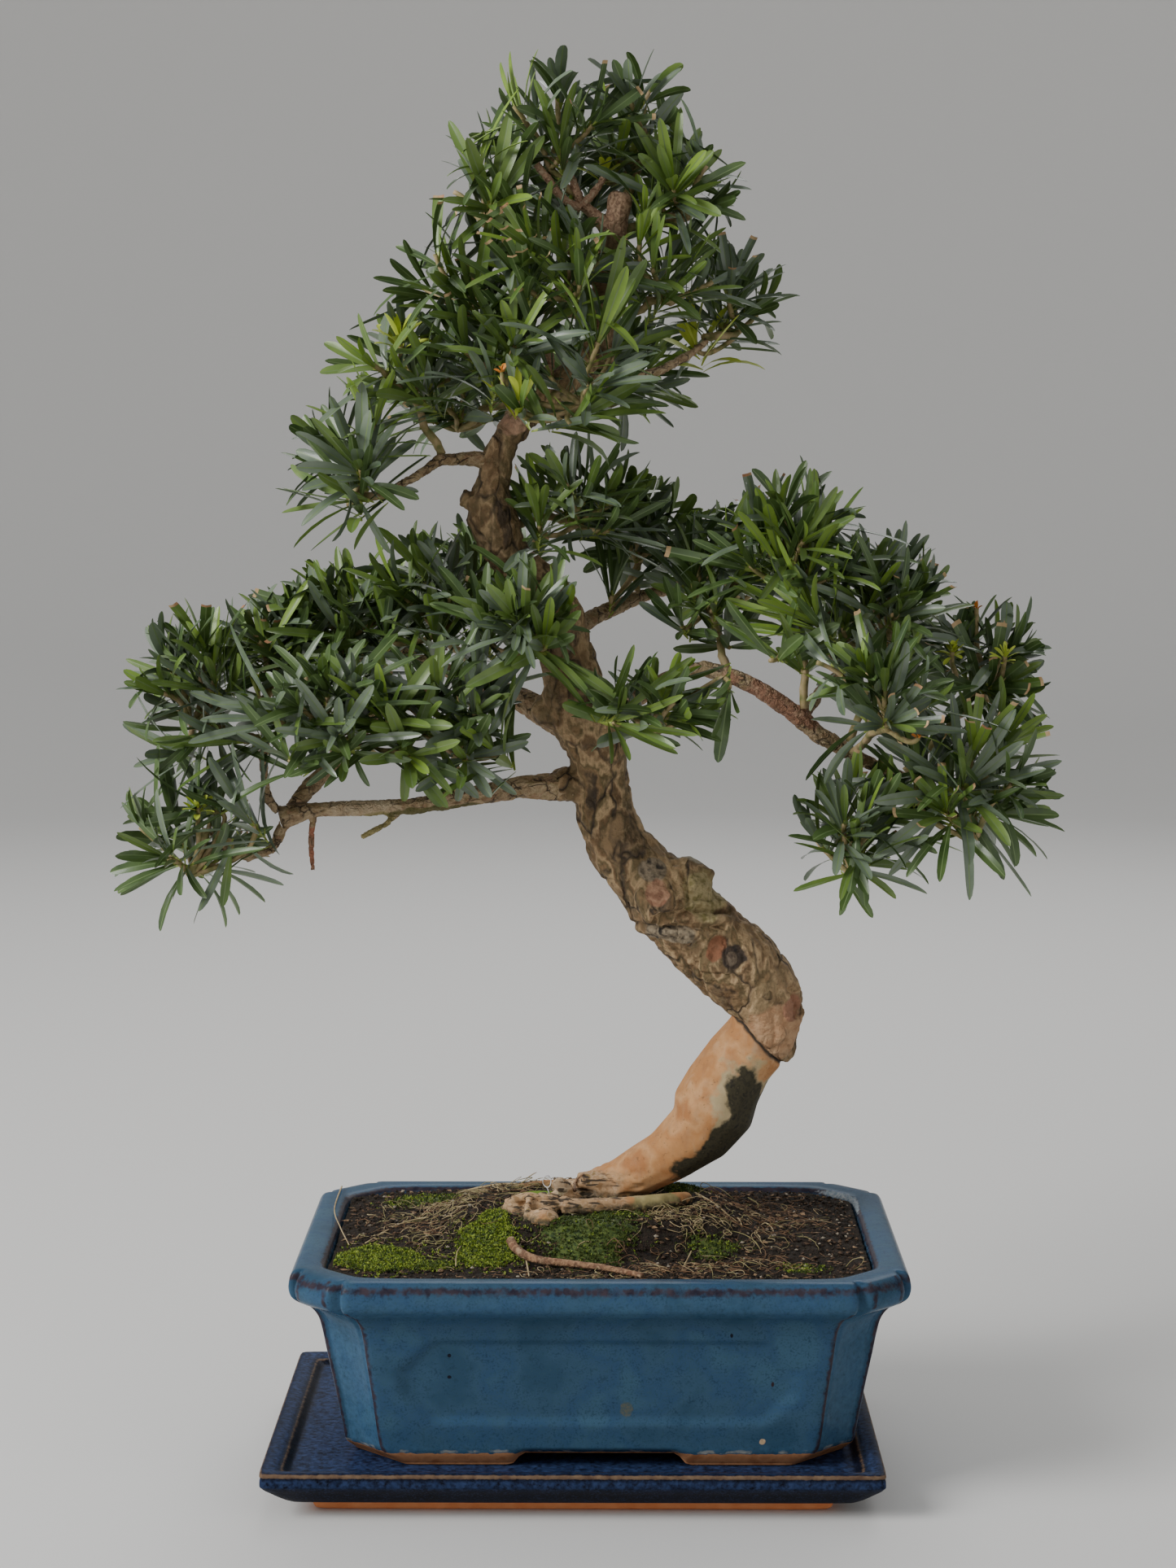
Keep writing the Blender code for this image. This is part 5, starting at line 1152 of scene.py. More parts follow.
# Old wood that shows at the top: pixels along each twig, its depth, and its thickness at both ends
OLD_TWIGS = {
    "fork": (((756, 290), (736, 268), (715, 252)), -0.0135, 0.0028, 0.0022),
    "fork_left": (((716, 256), (706, 228), (694, 200), (688, 190)), -0.0140, 0.0019, 0.0014),
    "fork_right": (((714, 254), (727, 240), (736, 228), (743, 216)), -0.0150, 0.0018, 0.0013),
    "dead_twig": (((714, 256), (692, 244), (672, 218), (659, 202)), -0.0160, 0.0018, 0.0016),
    "pale_twig": (((669, 492), (671, 470), (676, 446), (673, 428)), -0.0100, 0.0022, 0.0018),
}
old_twigs = Twigs("old_twigs")
for stops, depth, start_radius, end_radius in OLD_TWIGS.values():
    path = smooth_path([seen_at(u, v, depth) for u, v in stops], 0.0008, 3)
    old_twigs.add([Vector(station) for station in path], start_radius, end_radius, 8, knots=0.42)
piece = piece_of(old_twigs.name, old_twigs.points, old_twigs.faces, [old_twig_bark])
twig_piece = piece_of("twigs", twigs.points, twigs.faces, [twig_bark])
print(leaf_count, "leaves in all")

# %% [markdown]
# ## Pot and tray
# Both are stoneware, lofted here: an outline is drawn for each height and the outlines are joined. The
# pot's outline is a rectangle with cut corners, with a notch beside each and a lobe between. Its glaze is
# a deep blue that breaks to purple-brown where it runs thin over an edge, and that is paler where it
# pools. So each point of the mesh carries how thin and how pale its glaze is, and the finish reads both.

# %% Glaze
def carried(tree, name):
    """A value that each point of the mesh carries."""
    return add_node(tree, "Attribute", attribute_name=name).outputs["Fac"]


def glaze_finish(name, clay, glaze, speckle, thin, pale, line, crusty, gloss):
    """Clay with a speckled glaze from a height up, which breaks over edges. Each is a list of tones."""
    made = finish_of(name, clay, 150.0, 0.8)
    tree = made.node_tree
    shader = tree.nodes["Principled BSDF"]
    uneven = noise_of(tree, 240.0)
    split = add_node(tree, "SeparateXYZ", {"Vector": place_of(tree)})
    wandering = add_node(tree, "Math", {0: uneven, 1: -0.0008, 2: split.outputs["Z"]}, operation="MULTIPLY_ADD")
    glazed = spread_of(tree, wandering.outputs["Value"], line - 0.0006, line - 0.0004)
    lay_over(tree, glazed, ramp_of(tree, glaze, noise_of(tree, 38.0)))
    fine = noise_of(tree, 1100.0, low=0.50, high=0.62)
    lay_over(tree, product_of(tree, glazed, product_of(tree, fine, speckle[0])), ramp_of(tree, speckle[1:], uneven))
    pooled = product_of(tree, carried(tree, "pale_glaze"), noise_of(tree, 500.0, low=0.30, high=0.62))
    lay_over(tree, product_of(tree, glazed, pooled), ramp_of(tree, pale, uneven))
    broken = add_node(tree, "Math", {0: noise_of(tree, 420.0), 1: 0.35, 2: carried(tree, "thin_glaze")},
                      operation="MULTIPLY_ADD").outputs["Value"]
    edge = spread_of(tree, broken, 0.58, 0.98)
    lay_over(tree, product_of(tree, glazed, edge), ramp_of(tree, thin, uneven))
    crust_low = spread_of(tree, wandering.outputs["Value"], line - 0.0005, line)
    crust_high = spread_of(tree, wandering.outputs["Value"], line + 0.0014, line + 0.0006)
    crust = product_of(tree, product_of(tree, crust_low, crust_high), noise_of(tree, 130.0, low=0.50, high=0.60))
    lay_over(tree, product_of(tree, crust, crusty), ramp_of(tree, CRUST, uneven))
    tree.links.new(add_node(tree, "MapRange", {"Value": glazed, "To Min": 0.8, "To Max": gloss}).outputs["Result"],
                   shader.inputs["Roughness"])
    give_relief(tree, noise_of(tree, 90.0, detail=2.0, low=0.2, high=0.8), 0.10)
    return made


CRUST = [(0.42, 0.41, 0.36), (0.30, 0.29, 0.25)]
GLAZE_LINE = 0.0232
pot_finish = glaze_finish(
    "pot_glaze", [(0.340, 0.145, 0.068), (0.480, 0.235, 0.115), (0.400, 0.185, 0.090)],
    [(0.028, 0.068, 0.116), (0.038, 0.084, 0.138), (0.032, 0.075, 0.140), (0.042, 0.095, 0.150)],
    (0.6, (0.016, 0.040, 0.070), (0.036, 0.084, 0.115)), [(0.022, 0.020, 0.032), (0.052, 0.040, 0.050)],
    [(0.040, 0.105, 0.185), (0.055, 0.130, 0.220)], GLAZE_LINE, 0.65, 0.25)
SPOTS = {
    "tan_stain": ((0.0224, -0.0673, 0.0426), (0.0030, 0.006, 0.0040), [(0.105, 0.105, 0.080), (0.050, 0.085, 0.105)]),
    "cream_spot": ((0.0792, -0.0648, 0.0287), (0.0013, 0.004, 0.0013), [(0.55, 0.42, 0.27), (0.40, 0.27, 0.16)]),
    "pinhole_high": ((-0.0513, -0.0688, 0.0669), (0.0008, 0.004, 0.0009), [(0.010, 0.012, 0.020)] * 2),
    "pinhole_low": ((-0.0514, -0.0678, 0.0572), (0.0009, 0.004, 0.0008), [(0.010, 0.012, 0.020)] * 2),
    "pinhole_right": ((0.0658, -0.0708, 0.0766), (0.0007, 0.004, 0.0011), [(0.010, 0.012, 0.020)] * 2),
    "lime_inside": ((0.1190, 0.0660, 0.0995), (0.0120, 0.026, 0.0014), [(0.40, 0.42, 0.43), (0.13, 0.19, 0.25)]),
    "pit_right": ((0.0832, -0.0690, 0.0540), (0.0009, 0.004, 0.0015), [(0.030, 0.020, 0.024)] * 2),
}
for middle, half, tones in SPOTS.values():
    tree = pot_finish.node_tree
    lay_over(tree, inside_of(tree, middle, half, ragged=0.6, scale=600.0), ramp_of(tree, tones, noise_of(tree, 900.0)))
TRAY_LINE = 0.0046
# The tray's bare clay is its own orange, brightened to paint on sunlight over the tray's foot, which lies in shade
# here.
tray_finish = glaze_finish(
    "tray_glaze", [(0.86, 0.30, 0.12), (0.92, 0.37, 0.16)],
    [(0.0036, 0.0046, 0.0095), (0.0060, 0.0074, 0.0150), (0.0042, 0.0050, 0.0090)],
    (0.50, (0.013, 0.019, 0.044), (0.026, 0.038, 0.088)), [(0.100, 0.060, 0.040), (0.18, 0.12, 0.075)],
    [(0.020, 0.036, 0.095), (0.036, 0.062, 0.150)], TRAY_LINE, 0.0, 0.42)
for finish in (pot_finish, tray_finish):
    finish.node_tree.nodes["Principled BSDF"].inputs["Specular IOR Level"].default_value = 0.10
    finish.node_tree.nodes["Principled BSDF"].inputs["IOR"].default_value = 1.36
print(len(SPOTS), "spots on the glaze")


# %% Lofts of stoneware
def ease(values):
    """Runs smoothly from 0 to 1 as values do."""
    values = np.clip(values, 0.0, 1.0)
    return values * values * (3 - 2 * values)


def corner_outline(half, cut, notch, hollow, shares, wall_steps, rounding=2):
    """A rectangle with cut corners: its points, which wall each is on (-1 at a corner), and its share."""
    points, walls, along_corner = [], [], []
    for turn in range(4):
        long, wide = (half[0], half[1]) if turn % 2 == 0 else (half[1], half[0])
        depth = notch * (np.exp(-((shares - 0.09) / 0.05) ** 2) + np.exp(-((shares - 0.91) / 0.05) ** 2))
        depth = (depth + hollow * (1 - np.abs(2 * shares - 1) ** 3)) * math.sqrt(0.5)
        corner = np.stack([long - cut * shares - depth, wide - cut * (1 - shares) - depth], axis=1)
        steps = np.linspace(1, -1, wall_steps[turn % 2] + 2)[1:-1]
        wall = np.stack([(long - cut) * steps, np.full(len(steps), wide)], axis=1)
        spin = Matrix.Rotation(turn * math.pi / 2, 2)
        points.append(np.concatenate([corner, wall]) @ np.array(spin).T)
        walls += [-1] * len(shares) + [turn] * len(steps)
        along_corner += list(shares) + [0.0] * len(steps)
    points = np.concatenate(points)
    for _ in range(rounding):
        points = 0.5 * points + 0.25 * (np.roll(points, 1, axis=0) + np.roll(points, -1, axis=0))
    return points, np.array(walls), np.array(along_corner)


def stoneware(name, node, rings, values, finish):
    """Joins rings of points to a closed piece that carries values at its points."""
    columns = len(rings[0])
    faces = [list(reversed(range(columns)))]
    for i in range(len(rings) - 1):
        for k in range(columns):
            a, b = i * columns + k, i * columns + (k + 1) % columns
            faces.append((a, b, b + columns, a + columns))
    faces.append([(len(rings) - 1) * columns + k for k in range(columns)])
    piece = piece_of(name, np.concatenate(rings), faces, [finish])
    for key, amounts in values.items():
        carrier = piece.data.attributes.new(key, "FLOAT", "POINT")
        carrier.data.foreach_set("value", np.concatenate(amounts))
    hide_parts(node)
    print(name, len(piece.data.polygons), "faces")
    return piece


# %% The pot
POT_MIDDLE = np.array((0.0111, 0.0106))
POT_HALF = np.array((0.130, 0.0959))
POT_CUT = 0.0235
FOOT_LOW, FOOT_HIGH = 0.0173, 0.0225
FOOT_BLEND = 0.0262
FOOT_GAPS = (0.069, 0.046)
FOOT_SLANT = 0.006
PANEL_LOW, PANEL_HIGH, PANEL_CORNER = 0.0376, 0.0732, 0.013
PANEL_HALVES = (0.082, 0.048)
PANEL_DEPTH = 0.0019
PANEL_SOFT = 0.0040

# From the foot up, over the lip and down inside: how far inside the rim's edge, height, notch beside a
# cut corner, hollow of the corner, how much more the corner is cut, thin glaze, pale glaze
POT_STATIONS = [
    (0.0420, 0.0225, 0.0000, 0.0000, 0.0090, 0.0, 0.0),
    (0.0412, 0.0174, 0.0000, 0.0000, 0.0090, 0.0, 0.0),
    (0.0272, 0.0173, 0.0000, 0.0000, 0.0090, 0.0, 0.0),
    (0.0260, 0.0178, 0.0000, 0.0002, 0.0080, 0.0, 0.0),
    (0.0240, 0.0204, 0.0003, 0.0006, 0.0055, 0.0, 0.0),
    (0.0222, 0.0240, 0.0006, 0.0014, 0.0015, 0.0, 0.5),
    (0.0213, 0.0300, 0.0010, 0.0024, 0.0000, 0.0, 0.1),
    (0.0180, 0.0486, 0.0010, 0.0026, 0.0000, 0.0, 0.0),
    (0.0152, 0.0631, 0.0010, 0.0026, 0.0000, 0.0, 0.0),
    (0.0135, 0.0725, 0.0012, 0.0024, 0.0000, 0.0, 0.0),
    (0.0118, 0.0790, 0.0016, 0.0016, 0.0000, 0.0, 0.0),
    (0.0086, 0.0838, 0.0022, 0.0006, 0.0000, 0.0, 0.0),
    (0.0040, 0.0866, 0.0032, -0.0004, 0.0000, 0.0, 0.2),
    (0.0010, 0.0894, 0.0044, -0.0016, 0.0000, 0.0, 0.4),
    (0.0000, 0.0930, 0.0052, -0.0020, 0.0000, 0.0, 0.3),
    (0.0002, 0.0958, 0.0053, -0.0019, 0.0000, 0.4, 0.0),
    (0.0008, 0.0982, 0.0048, -0.0016, 0.0000, 0.8, 0.0),
    (0.0024, 0.1004, 0.0034, -0.0010, 0.0000, 0.2, 0.0),
    (0.0050, 0.1012, 0.0014, -0.0002, 0.0000, 0.0, 0.2),
    (0.0085, 0.1012, 0.0002, 0.0000, 0.0000, 0.0, 0.1),
    (0.0116, 0.1008, 0.0000, 0.0000, 0.0000, 0.2, 0.0),
    (0.0134, 0.0998, 0.0000, 0.0000, 0.0000, 1.0, 0.0),
    (0.0146, 0.0980, 0.0000, 0.0000, 0.0000, 0.5, 0.0),
    (0.0158, 0.0930, 0.0000, 0.0000, 0.0000, 0.0, 0.4),
    (0.0206, 0.0760, 0.0000, 0.0000, 0.0000, 0.0, 0.0),
    (0.0246, 0.0560, 0.0000, 0.0000, 0.0000, 0.0, 0.0),
    (0.0294, 0.0300, 0.0000, 0.0000, 0.0000, 0.0, 0.0),
]
CORNER_SHARES = np.concatenate([np.linspace(0, 0.24, 12), np.linspace(0.31, 0.69, 6), np.linspace(0.76, 1, 12)])
STRIP_TOP = 0.0880
NOTCH_LINE = (0.0900, 0.1008)
INNER_ROUNDING = 6000


def panel_depth(walls, along, heights):
    """How far the wall is sunk at each point, with soft edges."""
    half = np.where(walls % 2 == 0, PANEL_HALVES[0], PANEL_HALVES[1])
    side, level = half - np.abs(along), np.minimum(heights - PANEL_LOW, PANEL_HIGH - heights)
    inside = np.minimum(np.minimum(side, level), (side + level - PANEL_CORNER) * math.sqrt(0.5))
    return np.where(walls >= 0, PANEL_DEPTH * ease(0.5 + inside / PANEL_SOFT), 0.0)


pot_path = smooth_path(POT_STATIONS, 0.0012)
pot_top = max(range(len(pot_path)), key=lambda i: pot_path[i][1])
rings, thin, pale = [], [], []
for i, (inset, height, notch, hollow, more_cut, thin_here, pale_here) in enumerate(pot_path):
    flat, walls, share = corner_outline(POT_HALF - inset, POT_CUT - 0.35 * inset + more_cut, notch, hollow,
                                        CORNER_SHARES, (64, 92), 2 + int(INNER_ROUNDING * max(0.0, inset - 0.004)) * (i > pot_top))
    # A wall's own direction and the way along it: wall 0 faces +Y, 1 faces -X, 2 faces -Y and 3 faces +X
    along = np.where(walls % 2 == 0, flat[:, 0], flat[:, 1])
    gap = np.where(walls % 2 == 0, FOOT_GAPS[0], FOOT_GAPS[1]) / 2
    raised = ease((gap + FOOT_SLANT / 2 - np.abs(along)) / FOOT_SLANT) * (walls >= 0)
    low = FOOT_LOW + (FOOT_HIGH - FOOT_LOW) * raised
    heights = np.full(len(flat), height)
    if 0 < i < pot_top and height < FOOT_BLEND:
        heights = low + (height - FOOT_LOW) * (FOOT_BLEND - low) / (FOOT_BLEND - FOOT_LOW)
    outside = float(i <= pot_top)
    sunk = panel_depth(walls, along, heights) * outside
    facing = np.stack([np.where(walls == 1, -1, np.where(walls == 3, 1, 0)),
                       np.where(walls == 2, -1, np.where(walls == 0, 1, 0))], axis=1)
    flat = flat - facing * sunk[:, None] + POT_MIDDLE
    rings.append(np.column_stack([flat, heights]))
    ridge = np.exp(-((share - 0.02) / 0.035) ** 2) + np.exp(-((share - 0.98) / 0.035) ** 2)
    strip = (walls < 0) * outside * (height < STRIP_TOP)
    band = float(NOTCH_LINE[0] < height < NOTCH_LINE[1]) * outside * (walls < 0)
    brink = np.exp(-((share - 0.24) / 0.05) ** 2) + np.exp(-((share - 0.76) / 0.05) ** 2)
    thin.append(np.maximum(thin_here, np.maximum(0.95 * ridge * strip, 0.8 * brink * band)))
    pale.append(np.maximum(pale_here, 0.5 * strip * (np.abs(share - 0.5) < 0.42)))
stoneware("pot_stoneware", "pot", rings, {"thin_glaze": thin, "pale_glaze": pale}, pot_finish)

# %% The tray
TRAY_MIDDLE = np.array((0.0, 0.0077))
TRAY_HALF = np.array((0.130, 0.0915))
TRAY_FOOT = TRAY_HALF - np.array((0.1091, 0.0737))
TRAY_CUT = 0.0014
TRAY_SHARES = np.linspace(0, 1, 4)

# How far inside the edge along X and along Y, height, thin glaze, pale speckles
TRAY_STATIONS = [
    (TRAY_FOOT[0] + 0.0030, TRAY_FOOT[1] + 0.0012, 0.0000, 0.0, 0.0),
    (TRAY_FOOT[0] + 0.0012, TRAY_FOOT[1] + 0.0003, 0.0006, 0.0, 0.0),
    (TRAY_FOOT[0], TRAY_FOOT[1], 0.0020, 0.0, 0.0),
    (TRAY_FOOT[0], TRAY_FOOT[1], 0.0044, 0.0, 0.0),
    (TRAY_FOOT[0] - 0.0085, TRAY_FOOT[1] - 0.0075, 0.0056, 0.0, 0.0),
    (0.0034, 0.0034, 0.0116, 0.0, 0.0),
    (0.0010, 0.0010, 0.0140, 0.0, 0.3),
    (0.0002, 0.0002, 0.0152, 0.0, 0.7),
    (0.0003, 0.0003, 0.0172, 0.0, 0.7),
    (0.0007, 0.0007, 0.0184, 0.2, 0.1),
    (0.0002, 0.0002, 0.0192, 0.9, 0.0),
    (0.0003, 0.0003, 0.0200, 1.0, 0.0),
    (0.0012, 0.0012, 0.0206, 0.3, 0.3),
    (0.0030, 0.0030, 0.0206, 0.0, 0.8),
    (0.0060, 0.0060, 0.0200, 0.0, 1.0),
    (0.0078, 0.0078, 0.0194, 0.2, 0.3),
    (0.0088, 0.0088, 0.0192, 0.7, 0.0),
    (0.0102, 0.0102, 0.0182, 0.1, 0.0),
    (0.0116, 0.0116, 0.0173, 0.0, 0.1),
    (0.0136, 0.0136, 0.0170, 0.0, 0.8),
    (0.0200, 0.0200, 0.0170, 0.0, 1.0),
    (0.0300, 0.0300, 0.0170, 0.0, 1.0),
]
rings, thin, pale = [], [], []
for inset_x, inset_y, height, thin_here, pale_here in smooth_path(TRAY_STATIONS, 0.0009):
    flat, walls, share = corner_outline(TRAY_HALF - np.array((inset_x, inset_y)), TRAY_CUT, 0.0, 0.0,
                                        TRAY_SHARES, (20, 28))
    rings.append(np.column_stack([flat + TRAY_MIDDLE, np.full(len(flat), height)]))
    thin.append(np.full(len(flat), thin_here))
    pale.append(np.full(len(flat), pale_here))
stoneware("tray_stoneware", "tray", rings, {"thin_glaze": thin, "pale_glaze": pale}, tray_finish)

# %% [markdown]
# ## Soil, moss and fine roots
# The soil is dark and damp. It lies a few millimetres under the rim and rises to a mound where the
# trunk's roots grip it. Its surface is a grid whose heights come from one function, so that everything
# that lies on the soil, such as moss, fine roots and a fallen twig, asks the same function for its height.

# %% The soil's surface
SOIL_INSET = 0.0157
SOIL_HALF = POT_HALF - SOIL_INSET
SOIL_CUT = POT_CUT - 0.35 * SOIL_INSET
SOIL_LEVEL = 0.0985
MOUND_MIDDLE = (0.008, 0.022)
MOUND_HALF = (0.051, 0.041)
MOUND_TOP = 0.1107
MOUND_REACH = 1.55
SWELL = 0.0056
SWELL_FRONT, SWELL_RUN = -0.036, 0.030
DIP, DIP_FORWARD, DIP_WIDE = 0.0022, 0.0075, 0.0055
CRUMBS = ((210.0, 0.0012), (600.0, 0.0009), (1500.0, 0.0004))
SOIL_GRID = (260, 190)
# Below its surface the soil fills the pot: how much narrower it is, and the height
SOIL_BELOW = ((0.990, 0.0930), (0.955, 0.0760), (0.920, 0.0560), (0.870, 0.0300))


def wall_share(x, y):
    """0 in the middle of the soil, 1 at the pot's wall."""
    dx, dy = abs(x - POT_MIDDLE[0]), abs(y - POT_MIDDLE[1])
    return max(dx / SOIL_HALF[0], dy / SOIL_HALF[1], (dx + dy) / (SOIL_HALF[0] + SOIL_HALF[1] - SOIL_CUT))


def soil_height(x, y):
    """The soil's smooth height, without its crumbs."""
    far = math.hypot((x - MOUND_MIDDLE[0]) / MOUND_HALF[0], (y - MOUND_MIDDLE[1]) / MOUND_HALF[1])
    t = min(1.0, max(0.0, (MOUND_REACH - far) / (MOUND_REACH - 1.0)))
    level = SOIL_LEVEL + 0.0012 * noise.noise(Vector((x * 30, y * 30, 0.7)))
    level += SWELL * (1 - min(1.0, wall_share(x, y)) ** 3) * steady((y - SWELL_FRONT) / SWELL_RUN)
    dip = DIP * math.exp(-(big_root_gap(x, y, DIP_FORWARD) / DIP_WIDE) ** 2)
    return level + (MOUND_TOP - level) * t * t * (3 - 2 * t) - dip


def soil_spot(a, b):
    """The place on the soil for two values from -1 to 1, one along X and one along Y."""
    x, y = a * SOIL_HALF[0], b * SOIL_HALF[1]
    most = max(abs(a), abs(b), 1e-9)
    share = max(most, (abs(x) + abs(y)) / (SOIL_HALF[0] + SOIL_HALF[1] - SOIL_CUT))
    return POT_MIDDLE[0] + x * most / share, POT_MIDDLE[1] + y * most / share


def on_soil(x, y):
    """Whether a place lies on the soil, clear of the pot."""
    return wall_share(x, y) < 0.985


wide, deep = SOIL_GRID
points = []
for j in range(deep + 1):
    for i in range(wide + 1):
        x, y = soil_spot(2 * i / wide - 1, 2 * j / deep - 1)
        crumbs = sum(depth * noise.noise(Vector((x, y, 0.3)) * scale) for scale, depth in CRUMBS)
        points.append((x, y, soil_height(x, y) + crumbs))
row = wide + 1
faces = [(j * row + i, j * row + i + 1, (j + 1) * row + i + 1, (j + 1) * row + i)
         for j in range(deep) for i in range(wide)]
edge = [*range(wide), *(j * row + wide for j in range(deep)), *(deep * row + i for i in range(wide, 0, -1)),
        *(j * row for j in range(deep, 0, -1))]
upper = edge
for narrower, height in SOIL_BELOW:
    lower = list(range(len(points), len(points) + len(edge)))
    points += [(*(POT_MIDDLE + (np.array(points[k][:2]) - POT_MIDDLE) * narrower), height) for k in edge]
    faces += [(lower[k], lower[(k + 1) % len(edge)], upper[(k + 1) % len(edge)], upper[k]) for k in range(len(edge))]
    upper = lower
faces.append(list(reversed(upper)))
soil_finish = finish_of("soil", [(0.005, 0.003, 0.0015), (0.016, 0.009, 0.0040), (0.036, 0.019, 0.008), (0.009, 0.005, 0.0025),
                                 (0.027, 0.021, 0.007)], 520.0, 0.95, bump=0.8, bump_scale=1500.0)
soil = piece_of("soil_crumbs", points, faces, [soil_finish])
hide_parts("soil")
print(len(faces), "faces of soil")

# %% Moss
MOSS_BRIGHT = finish_of("moss_bright", [(0.070, 0.130, 0.008), (0.20, 0.29, 0.020), (0.36, 0.42, 0.050),
                                        (0.12, 0.21, 0.012)], 620.0, 0.7)
MOSS_DARK = finish_of("moss_dark", [(0.016, 0.036, 0.004), (0.050, 0.085, 0.010), (0.10, 0.13, 0.020),
                                    (0.030, 0.060, 0.006)], 620.0, 0.7)
MOSS_LEAF = (0.0008, 0.0016)
MOSS_SIZE = 0.00026
MOSS_SCATTER = 1.45
Patch = namedtuple("Patch", "middle half rise tufts bright stands_for")
MOSS = {
    "moss_left_cushion": Patch((-0.084, -0.037), (0.020, 0.018), 0.0016, 1900, 0.60, "moss_left"),
    "moss_front_cushion": Patch((-0.037, -0.028), (0.014, 0.026), 0.0018, 2100, 0.66, "moss_front"),
    "moss_between": Patch((-0.060, -0.047), (0.012, 0.008), 0.0003, 380, 0.40, None),
    # moss_middle and moss_at_root are mostly dark tufts: partly a darker moss, and partly painted shade under the trunk
    # and crown.
    "moss_middle": Patch((0.007, -0.026), (0.0215, 0.020), 0.0009, 1250, 0.06, None),
    "moss_at_root": Patch((0.018, 0.001), (0.014, 0.007), 0.0006, 520, 0.20, None),
    "moss_behind": Patch((0.046, 0.044), (0.010, 0.009), 0.0008, 420, 0.10, None),
    "moss_right": Patch((0.060, -0.024), (0.012, 0.009), 0.0002, 300, 0.18, None),
    "moss_corner": Patch((0.097, -0.050), (0.010, 0.007), 0.0002, 130, 0.45, None),
    "moss_back_left": Patch((-0.070, 0.060), (0.018, 0.012), 0.0004, 420, 0.25, None),
}


def moss_patch(name, patch, rng):
    """A low cushion with a ragged edge, set with tufts of tiny pointed leaves."""
    rings, columns = 12, 56
    points, faces = [], []

    def place(share, turn):
        ragged = share * (1 + 0.35 * noise.noise(Vector((math.cos(turn) * 1.7, math.sin(turn) * 1.7, patch.middle[0] * 90))))
        x = patch.middle[0] + patch.half[0] * ragged * math.cos(turn)
        y = patch.middle[1] + patch.half[1] * ragged * math.sin(turn)
        top = patch.rise * math.sqrt(max(0.0, 1 - share * share)) + 0.0007 * noise.noise(Vector((x, y, 0.9)) * 420)
        return Vector((x, y, soil_height(x, y) + top + 0.0006 - 0.0022 * min(share, 1.0) ** 4))

    for i in range(1, rings + 1):
        points += [place(i / rings, 2 * math.pi * k / columns) for k in range(columns)]
    faces.append(list(range(columns)))
    for i in range(rings - 1):
        for k in range(columns):
            a, b = i * columns + k, i * columns + (k + 1) % columns
            faces.append((a, a + columns, b + columns, b))
    slots = [0] * len(faces)
    for _ in range(patch.tufts):
        share = math.sqrt(rng.random()) * (1.0 if rng.random() < 0.8 else MOSS_SCATTER)
        foot = place(share, rng.uniform(0, 2 * math.pi)) + Vector((0, 0, 0.0016 * min(share, 1.0) ** 4))
        tone = int(rng.random() < patch.bright)
        if not on_soil(foot.x, foot.y):
            continue
        for _ in range(rng.choice((4, 5, 6))):
            turn, rise = rng.uniform(0, 2 * math.pi), rng.uniform(0.35, 1.35)
            way = Vector((math.cos(turn) * math.cos(rise), math.sin(turn) * math.cos(rise), math.sin(rise)))
            side = way.cross(Vector((rng.uniform(-1, 1), rng.uniform(-1, 1), rng.uniform(-1, 1)))).normalized() * MOSS_SIZE
            length = rng.uniform(*MOSS_LEAF)
            start = len(points)
            points += [foot, foot + way * length * 0.55 + side, foot + way * length, foot + way * length * 0.55 - side]
            faces.append((start, start + 1, start + 2, start + 3))
            slots.append(tone)
    piece = piece_of(name, [p if on_soil(p.x, p.y) else Vector((p.x, p.y, SOIL_LEVEL - 0.004)) for p in points],
                     faces, [MOSS_DARK, MOSS_BRIGHT], slots)
    if patch.stands_for:
        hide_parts(patch.stands_for)
    return len(faces)


rng = random.Random(53)
print(sum(moss_patch(name, patch, rng) for name, patch in MOSS.items()), "faces of moss")


# %% Crumbs and scraps on the soil
CRUMB_FINISHES = [
    soil_finish,
    finish_of("peat", [(0.050, 0.026, 0.013), (0.105, 0.060, 0.032), (0.030, 0.017, 0.010)], 300.0, 0.9),
    finish_of("dead_leaf", [(0.16, 0.085, 0.040), (0.27, 0.17, 0.085), (0.10, 0.052, 0.026)], 300.0, 0.8),
    finish_of("grit", [(0.34, 0.29, 0.22), (0.22, 0.18, 0.13)], 300.0, 0.8),
]
CRUMB_SHARES = (0.52, 0.36, 0.09, 0.03)
CRUMB_COUNT = 5200
CRUMB_SIZE = (0.0003, 0.0011)
rng = random.Random(67)
points, faces, slots = [], [], []
for _ in range(CRUMB_COUNT):
    x, y = soil_spot(rng.uniform(-1, 1), rng.uniform(-1, 1))
    if not on_soil(x, y):
        continue
    kind = rng.choices(range(len(CRUMB_SHARES)), CRUMB_SHARES)[0]
    size = rng.uniform(*CRUMB_SIZE)
    long, flat = (size * 2.6, size * 0.35) if kind == 2 else (size * rng.uniform(0.8, 1.5), size * 0.7)
    middle = Vector((x, y, soil_height(x, y) + flat * 0.6 + 0.0003))
    turn = Matrix.Rotation(rng.uniform(0, 2 * math.pi), 3, "Z") @ Matrix.Rotation(rng.uniform(-0.5, 0.5), 3, "X")
    start = len(points)
    for corner in ((1, 0, 0), (0, 1, 0), (-1, 0, 0), (0, -1, 0), (0, 0, 1), (0, 0, -1)):
        uneven = rng.uniform(0.7, 1.3)
        points.append(middle + turn @ Vector((corner[0] * long, corner[1] * size, corner[2] * flat)) * uneven)
    for k in range(4):
        n = (k + 1) % 4
        faces += [(start + k, start + n, start + 4), (start + n, start + k, start + 5)]
    slots += [kind] * 8
crumbs = piece_of("soil_scraps", points, faces, CRUMB_FINISHES, slots, smooth=False)
